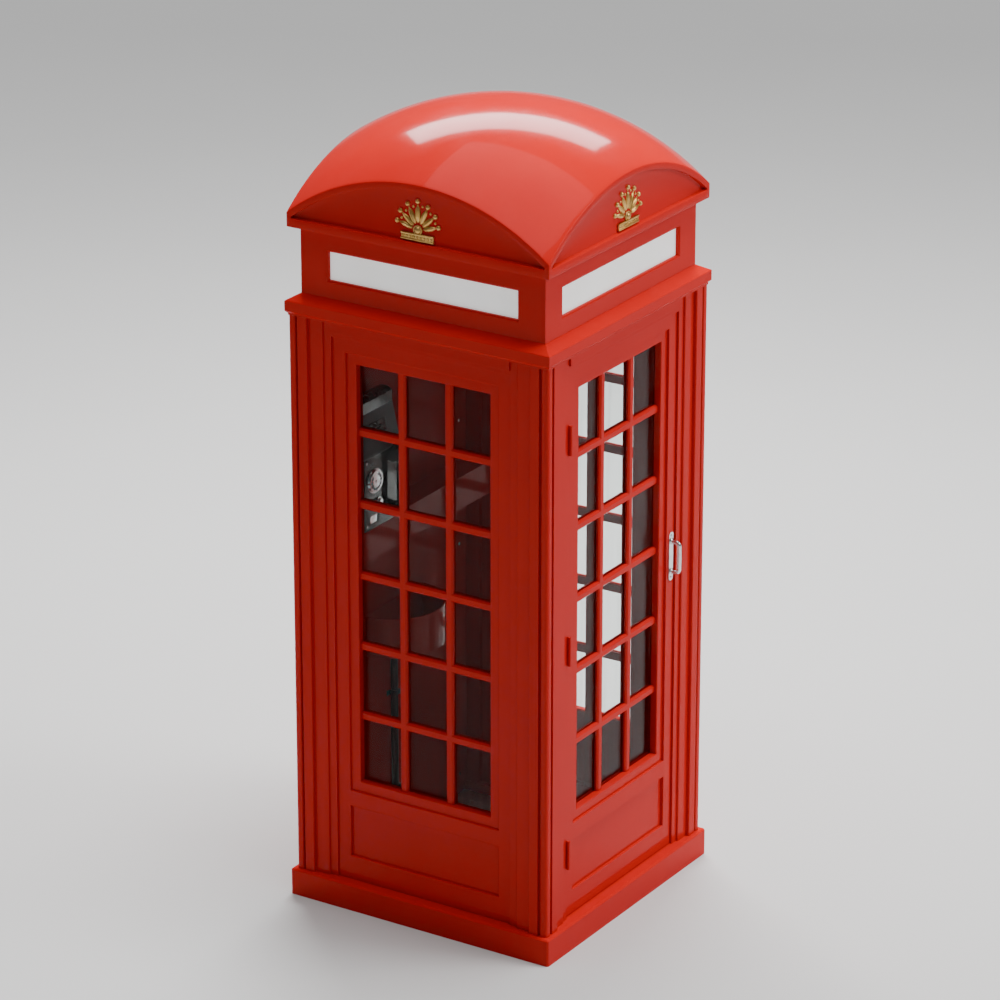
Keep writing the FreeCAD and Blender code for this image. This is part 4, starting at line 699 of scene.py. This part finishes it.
def make_pull():
    """A bow handle with a swelled middle and turned feet, drawn out ring by ring."""
    low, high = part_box("pull_grip")
    radius = (high.x - low.x) / 2
    bend = radius * 2
    outer = low.y + radius
    across = (low.x + high.x) / 2
    bottom, top = low.z + radius, high.z - radius
    build = bmesh.new()
    foot = Matrix.Translation((across, high.y, bottom)) @ Matrix.Rotation(QUARTER, 4, "X")
    bmesh.ops.create_circle(build, segments=28, radius=radius * PULL_FOOT_SPREAD,
                            cap_ends=False, matrix=foot)
    ring = build.edges[:]
    spot = Vector((across, high.y, bottom))

    def drawn(ring, spot, move, scale):
        """Extrude the ring by a move, then scale it about its middle."""
        made = bmesh.ops.extrude_edge_only(build, edges=ring)
        verts = verts_of(made)
        bmesh.ops.translate(build, verts=verts, vec=move)
        spot = spot + move
        bmesh.ops.scale(build, verts=verts, vec=Vector((scale,) * 3),
                        space=Matrix.Translation(-spot))
        return edges_of(made), spot

    def bent(ring, spot, centre):
        """Turn the ring a quarter about an upright bend's centre."""
        for _ in range(BEND_STEPS):
            made = bmesh.ops.extrude_edge_only(build, edges=ring)
            turn = Matrix.Rotation(-QUARTER / BEND_STEPS, 3, "X")
            bmesh.ops.rotate(build, verts=verts_of(made), cent=centre, matrix=turn)
            ring = edges_of(made)
        turned = Matrix.Rotation(-QUARTER, 3, "X") @ (spot - centre)
        return ring, centre + turned

    out = Vector((0, -1, 0))
    up = Vector((0, 0, 1))
    for rise, scale in PULL_FOOT:
        ring, spot = drawn(ring, spot, out * rise, scale)
    ring, spot = drawn(ring, spot, out * (spot.y - outer - bend), PULL_NECK)
    ring, spot = bent(ring, spot, Vector((across, outer + bend, bottom + bend)))
    run = top - bottom - 2 * bend
    for share, scale in PULL_GRIP:
        ring, spot = drawn(ring, spot, up * run * share, scale)
    ring, spot = bent(ring, spot, Vector((across, outer + bend, top - bend)))
    foot_height = sum(rise for rise, scale in PULL_FOOT)
    ring, spot = drawn(ring, spot, -out * (high.y - foot_height - spot.y), 1 / PULL_NECK)
    for rise, scale in reversed(PULL_FOOT):
        ring, spot = drawn(ring, spot, -out * rise, 1 / scale)
    bmesh.ops.holes_fill(build, edges=[edge for edge in build.edges if edge.is_boundary], sides=0)
    finish_piece(build, "pull_bow", "door", "pull_chrome", ["pull_grip"])


# -------------------------------------------------------------------------------------- screws

def add_screw(build, radius, rise, spot, axis, turn=0.0):
    """A slotted dome-headed screw whose head stands on a surface at the spot."""
    steps = 28
    head = bmesh.new()
    top = rise * 0.35
    bmesh.ops.create_circle(head, segments=steps, radius=radius, cap_ends=True)
    face = head.faces[:]
    for height, scale in ((top, 1.0), (rise * 0.4, 0.82), (rise * 0.2, 0.62), (rise * 0.05, 0.5)):
        made = bmesh.ops.extrude_face_region(head, geom=face)
        verts = verts_of(made)
        bmesh.ops.translate(head, verts=verts, vec=Vector((0, 0, height)))
        bmesh.ops.scale(head, verts=verts, vec=Vector((scale, scale, 1)))
        left = [item for item in face if item.is_valid and item.calc_center_median().z > 0.01 * MM]
        bmesh.ops.delete(head, geom=left, context="FACES_ONLY")
        face = [item for item in made["geom"] if isinstance(item, bmesh.types.BMFace)]
    slot = radius * 0.16
    for reach in (-slot, slot):
        bmesh.ops.bisect_plane(head, geom=everything(head), plane_co=Vector((0, reach, 0)),
                               plane_no=Vector((0, 1, 0)))
    bmesh.ops.recalc_face_normals(head, faces=head.faces[:])
    groove = [item for item in head.faces
              if abs(item.calc_center_median().y) < slot and item.normal.z > 0.3]
    made = bmesh.ops.extrude_face_region(head, geom=groove)
    for vert in verts_of(made):
        vert.co.z = min(vert.co.z, rise * 0.45)
    bmesh.ops.delete(head, geom=[item for item in groove if item.is_valid], context="FACES_ONLY")
    place = Matrix.Translation(spot) @ axis.to_track_quat("Z", "X").to_matrix().to_4x4()
    bmesh.ops.transform(head, verts=head.verts[:], matrix=place @ Matrix.Rotation(turn, 4, "Z"))
    bmesh.ops.recalc_face_normals(head, faces=head.faces[:])
    put_into(build, head, "screw_copy")


def make_pull_screws():
    """The two slotted screws of the pull's backplate."""
    low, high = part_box("pull_screws")
    plate_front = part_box("pull_plate")[0].y
    across = (low.x + high.x) / 2
    radius = (high.x - low.x) / 2
    build = bmesh.new()
    for level, turn in ((low.z + radius, 0.5), (high.z - radius, 1.9)):
        add_screw(build, radius * 1.15, 2.6 * MM, Vector((across, plate_front, level)),
                  Vector((0, -1, 0)), turn)
    finish_piece(build, "pull_plate_screws", "door", "pull_chrome", ["pull_screws"])


HINGE_LENGTH = 100 * MM
HINGE_LEAF = 2 * MM
HINGE_SCREW_RADIUS = 4.2 * MM
HINGE_SCREW_INSET = 15 * MM
HINGE_FIRST_SCREW = 18 * MM
HINGE_SCREW_STEP = 32 * MM
HINGE_STAGGER = 6 * MM


def make_hinge_screws():
    """Three countersunk screws through each leaf of the three hinges, nearly flush."""
    post_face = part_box("corner_post_front_left")[1].x + HINGE_LEAF
    stile_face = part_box("door_hinge_stile")[0].x
    for body, leaf_node, surface, outward in (("kiosk", "hinge_post_leaves", post_face, 1),
                                              ("door", "hinge_door_leaves", stile_face, -1)):
        low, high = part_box(leaf_node)
        depth = high.y - HINGE_SCREW_INSET
        build = bmesh.new()
        middle = (low.z + high.z) / 2
        for hinge_low in (low.z, middle - HINGE_LENGTH / 2, high.z - HINGE_LENGTH):
            for number in range(3):
                level = hinge_low + HINGE_FIRST_SCREW + HINGE_SCREW_STEP * number
                nudge = (number % 2) * HINGE_STAGGER
                add_screw(build, HINGE_SCREW_RADIUS, 0.4 * MM,
                          Vector((surface, depth + nudge, level)), Vector((outward, 0, 0)),
                          0.7 * number + 0.3)
        finish_piece(build, f"hinge_screws_{body}", body, "hinge_steel")


BOARD_SCREW_LEVELS = (1.0, 1.45)
BOARD_SCREW_INSET = 45 * MM
CASE_SCREW_INSET = 14 * MM


def make_board_screws():
    """Round-headed screws that hold the backboard and the telephone's casing."""
    board_low, board_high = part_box("backboard")
    case_low, case_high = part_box("telephone_case")
    face = Vector((0, -1, 0))
    build = bmesh.new()
    inset = BOARD_SCREW_INSET
    for across in (board_low.x + inset, 0.0, board_high.x - inset):
        for level in (board_low.z + inset, *BOARD_SCREW_LEVELS, board_high.z - inset):
            add_screw(build, 5.5 * MM, 2.6 * MM, Vector((across, board_low.y, level)), face,
                      across * 7 + level * 5)
    finish_piece(build, "backboard_screws", "kiosk", "hook_grey")
    build = bmesh.new()
    inset = CASE_SCREW_INSET
    for across in (case_low.x + inset, case_high.x - inset):
        for level in (case_low.z + inset, case_high.z - inset):
            add_screw(build, 4.5 * MM, 2.2 * MM, Vector((across, case_low.y, level)), face,
                      across * 9 + level * 4)
    finish_piece(build, "case_screws", "kiosk", "phone_chrome")


# ------------------------------------------------------------------------------ the telephone

GRIP_RADIUS = 10 * MM
GRIP_SETBACK = 10.5 * MM
GRIP_TAPER = 0.14
GRIP_FLARE = 0.3
FLARE_START = 0.72
SOUND_HOLE_RADIUS = 1.3 * MM
SOUND_HOLE_RINGS = ((0.0, 1), (7.5 * MM, 6), (14.5 * MM, 12))


def make_handset():
    """A tapered grip between an ear cap and a trumpet-lipped mouth cap, both facing the case."""
    low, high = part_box("handset_grip")
    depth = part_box("handset_caps")[1].y - low.y
    across = (low.x + high.x) / 2
    radius = (high.x - low.x) / 2
    inward = Vector((0, 1, 0))
    ear = Vector((across, low.y, high.z - radius))
    mouth = Vector((across, low.y, low.z + radius))
    build = bmesh.new()
    shoulder = [(0.0, 0.6 * MM), (radius * 0.45, 0.8 * MM), (radius * 0.7, 2.6 * MM),
                (radius * 0.88, 6.5 * MM), (radius * 0.93, 12 * MM), (radius * 0.93, 15.5 * MM)]
    cap = [(radius, 16 * MM), (radius, 18 * MM), (radius * 0.97, depth - 6 * MM),
           (radius * 0.99, depth - 4 * MM), (radius * 0.98, depth - MM), (radius * 0.9, depth),
           (radius * 0.55, depth - 2.4 * MM), (radius * 0.2, depth - 3.4 * MM),
           (0.0, depth - 3.5 * MM)]
    for spot in (ear, mouth):
        add_turning(build, shoulder + cap, spot, inward, 48)
    middle = (ear.z + mouth.z) / 2
    grip_depth = low.y + GRIP_SETBACK
    grip = Matrix.Translation((across, grip_depth, middle))
    length = ear.z - mouth.z
    bar = bmesh.ops.create_cone(build, cap_ends=True, cap_tris=False, segments=32,
                                radius1=GRIP_RADIUS, radius2=GRIP_RADIUS, depth=length,
                                matrix=grip)
    sides = [edge for edge in {e for vert in bar["verts"] for e in vert.link_edges}
             if abs(edge.verts[0].co.z - edge.verts[1].co.z) > length / 2]
    bmesh.ops.subdivide_edges(build, edges=sides, cuts=14, use_grid_fill=False)
    for vert in build.verts:
        from_middle = (vert.co.z - middle) / (length / 2)
        if abs(from_middle) > 1 or abs(vert.co.x - across) > GRIP_RADIUS + MM:
            continue
        axis_distance = (Vector((across, grip_depth, vert.co.z)) - vert.co).length
        if vert.co.y > low.y + 2 * GRIP_SETBACK or axis_distance < GRIP_RADIUS - MM:
            continue
        flare = GRIP_FLARE * max(0.0, abs(from_middle) - FLARE_START)
        swell = 1 - GRIP_TAPER * abs(from_middle) + flare
        vert.co.x = across + (vert.co.x - across) * swell
    holes = bmesh.new()
    for ring, count in SOUND_HOLE_RINGS:
        for number in range(count):
            turn = number * math.tau / count
            for spot in (ear, mouth):
                at = spot + Vector((ring * math.cos(turn), depth - 2.6 * MM, ring * math.sin(turn)))
                add_ball(holes, SOUND_HOLE_RADIUS, at, (1, 0.8, 1), steps=8)
    finish_piece(build, "handset", "handset", "phone_black", ["handset_grip", "handset_caps"], 40)
    finish_piece(holes, "handset_sound_holes", "handset", "hook_grey")


FIGURE_RING = 26 * MM
FIGURE_SIZE = 10 * MM
FIRST_FIGURE = 60
FIGURE_STEP = 30


def make_dial_numbers():
    """The ten figures of the dial, seen through its finger holes."""
    dial_low, dial_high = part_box("dial")
    centre = (dial_low + dial_high) / 2
    face = dial_high.y + 0.32 * MM
    build = bmesh.new()
    for number in range(10):
        turn = math.radians(FIRST_FIGURE - FIGURE_STEP * number)
        curve = bpy.data.curves.new("figure", "FONT")
        curve.body = str((number + 1) % 10)
        curve.size = FIGURE_SIZE
        curve.extrude = 0.1 * MM
        curve.align_x = "CENTER"
        curve.align_y = "CENTER"
        text = bpy.data.objects.new("figure", curve)
        bpy.context.scene.collection.objects.link(text)
        mesh = bpy.data.meshes.new_from_object(
            text.evaluated_get(bpy.context.evaluated_depsgraph_get()))
        spot = Vector((centre.x + FIGURE_RING * math.cos(turn), face,
                       centre.z + FIGURE_RING * math.sin(turn)))
        mesh.transform(Matrix.Translation(spot) @ Matrix.Rotation(QUARTER, 4, "X"))
        build.from_mesh(mesh)
        bpy.data.objects.remove(text)
        bpy.data.curves.remove(curve)
        bpy.data.meshes.remove(mesh)
    bmesh.ops.remove_doubles(build, verts=build.verts[:], dist=0.001 * MM)
    finish_piece(build, "dial_figures", "kiosk", "phone_black")


# ------------------------------------------------------------------------------------ the lamp

LAMP_WALL = 3 * MM
LAMP_SEAT_GAP = 0.4 * MM


def make_lamp_bowl():
    """An opal glass bowl with a rolled rim."""
    low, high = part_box("lamp_bowl")
    radius = high.x
    drop = high.z - low.z
    centre = Vector((0, 0, high.z))
    steps = 14
    build = bmesh.new()
    outline = [(0.0, -drop + LAMP_SEAT_GAP)]
    for number in range(1, steps):
        turn = QUARTER * number / steps
        outline.append((math.sin(turn) * radius, -math.cos(turn) * drop + LAMP_SEAT_GAP))
    outline += [(radius - 0.2 * MM, -9 * MM), (radius, -6 * MM), (radius, -2 * MM),
                (radius - 1.5 * MM, -LAMP_SEAT_GAP), (radius - LAMP_WALL, -LAMP_SEAT_GAP)]
    for number in range(steps - 1, 0, -1):
        turn = QUARTER * number / steps
        outline.append((math.sin(turn) * (radius - LAMP_WALL),
                        -math.cos(turn) * (drop - LAMP_WALL)))
    outline.append((0.0, -drop + LAMP_WALL))
    add_turning(build, outline, centre, Vector((0, 0, 1)), 64)
    finish_piece(build, "lamp_bowl_glass", "kiosk", "lamp_glass", ["lamp_bowl"])


make_roof()
make_fans()
make_pull()
make_pull_screws()
make_hinge_screws()
make_board_screws()
make_handset()
make_dial_numbers()
make_lamp_bowl()


# --------------------------------------------------------------------------------- the studio

FLOOR_REACH = 60


def make_floor():
    """A wide pale floor with a faint mottle."""
    build = bmesh.new()
    bmesh.ops.create_grid(build, x_segments=1, y_segments=1, size=FLOOR_REACH)
    mesh = bpy.data.meshes.new("studio_floor")
    build.to_mesh(mesh)
    build.free()
    made, tree, shader = new_material("Pale studio floor", Roughness=0.9, Specular_IOR_Level=0.1)
    mottle = noise_of(tree, stretched(tree, (1, 1, 1)), 0.8, 2.0)
    colour = blend_of(tree, mottle, (0.57, 0.57, 0.57, 1), (0.60, 0.60, 0.60, 1))
    tree.links.new(colour, shader.inputs["Base Color"])
    mesh.materials.append(made)
    floor = bpy.data.objects.new("studio_floor", mesh)
    bpy.context.scene.collection.objects.link(floor)


def toward(azimuth, elevation):
    """A direction from the booth: azimuth 0 is in front of the door, 90 to its right."""
    a, e = math.radians(azimuth), math.radians(elevation)
    return Vector((math.sin(a) * math.cos(e), -math.cos(a) * math.cos(e), math.sin(e)))


def add_softbox(name, azimuth, elevation, distance, size, power, colour=(1, 1, 1)):
    """A rectangular light that looks at the middle of the booth."""
    light = bpy.data.lights.new(name, "AREA")
    light.shape = "RECTANGLE"
    light.size, light.size_y = size
    light.energy = power
    light.color = colour
    lamp = bpy.data.objects.new(name, light)
    away = toward(azimuth, elevation)
    lamp.location = (CAD_BOX[0] + CAD_BOX[1]) / 2 + away * distance
    lamp.rotation_euler = away.to_track_quat("Z", "Y").to_euler()
    bpy.context.scene.collection.objects.link(lamp)


def make_lights():
    add_softbox("front_softbox", azimuth=24, elevation=36, distance=9.0, size=(3.4, 3.4),
                power=400, colour=(1.0, 0.985, 0.96))
    add_softbox("back_softbox", azimuth=120, elevation=47, distance=6.0, size=(4.2, 1.4),
                power=640, colour=(1.0, 0.99, 0.98))
    add_softbox("overhead_softbox", azimuth=0, elevation=90, distance=6.2, size=(5.4, 5.4),
                power=270)
    skylight = bpy.data.objects.new("skylight", bpy.data.lights.new("skylight", "SUN"))
    skylight.data.energy = 2.3
    skylight.data.angle = math.radians(24)
    skylight.rotation_euler = toward(30, 78).to_track_quat("Z", "Y").to_euler()
    skylight.visible_glossy = False
    bpy.context.scene.collection.objects.link(skylight)
    world = bpy.data.worlds.new("studio")
    world.use_nodes = True
    sky = world.node_tree.nodes["Background"]
    sky.inputs["Color"].default_value = (1.0, 1.0, 1.0, 1)
    seen = shade(world.node_tree, "ShaderNodeLightPath").outputs["Is Camera Ray"]
    strength = ranged(world.node_tree, seen, 0.0, 1.0, 0.13, 0.6)
    world.node_tree.links.new(strength, sky.inputs["Strength"])
    bpy.context.scene.world = world


CAMERA_AZIMUTH = -57.5
CAMERA_ELEVATION = 21.5
CAMERA_DISTANCE = 15.7
CAMERA_LENS = 172


def make_camera():
    """A long lens, well back and above, turned to the door's hinge-side corner."""
    camera = bpy.data.objects.new("camera", bpy.data.cameras.new("camera"))
    camera.data.lens = CAMERA_LENS
    camera.data.clip_end = 200
    away = toward(CAMERA_AZIMUTH, CAMERA_ELEVATION)
    camera.location = (CAD_BOX[0] + CAD_BOX[1]) / 2 + away * CAMERA_DISTANCE
    camera.rotation_euler = away.to_track_quat("Z", "Y").to_euler()
    bpy.context.scene.collection.objects.link(camera)
    bpy.context.scene.camera = camera


make_floor()
make_lights()
make_camera()
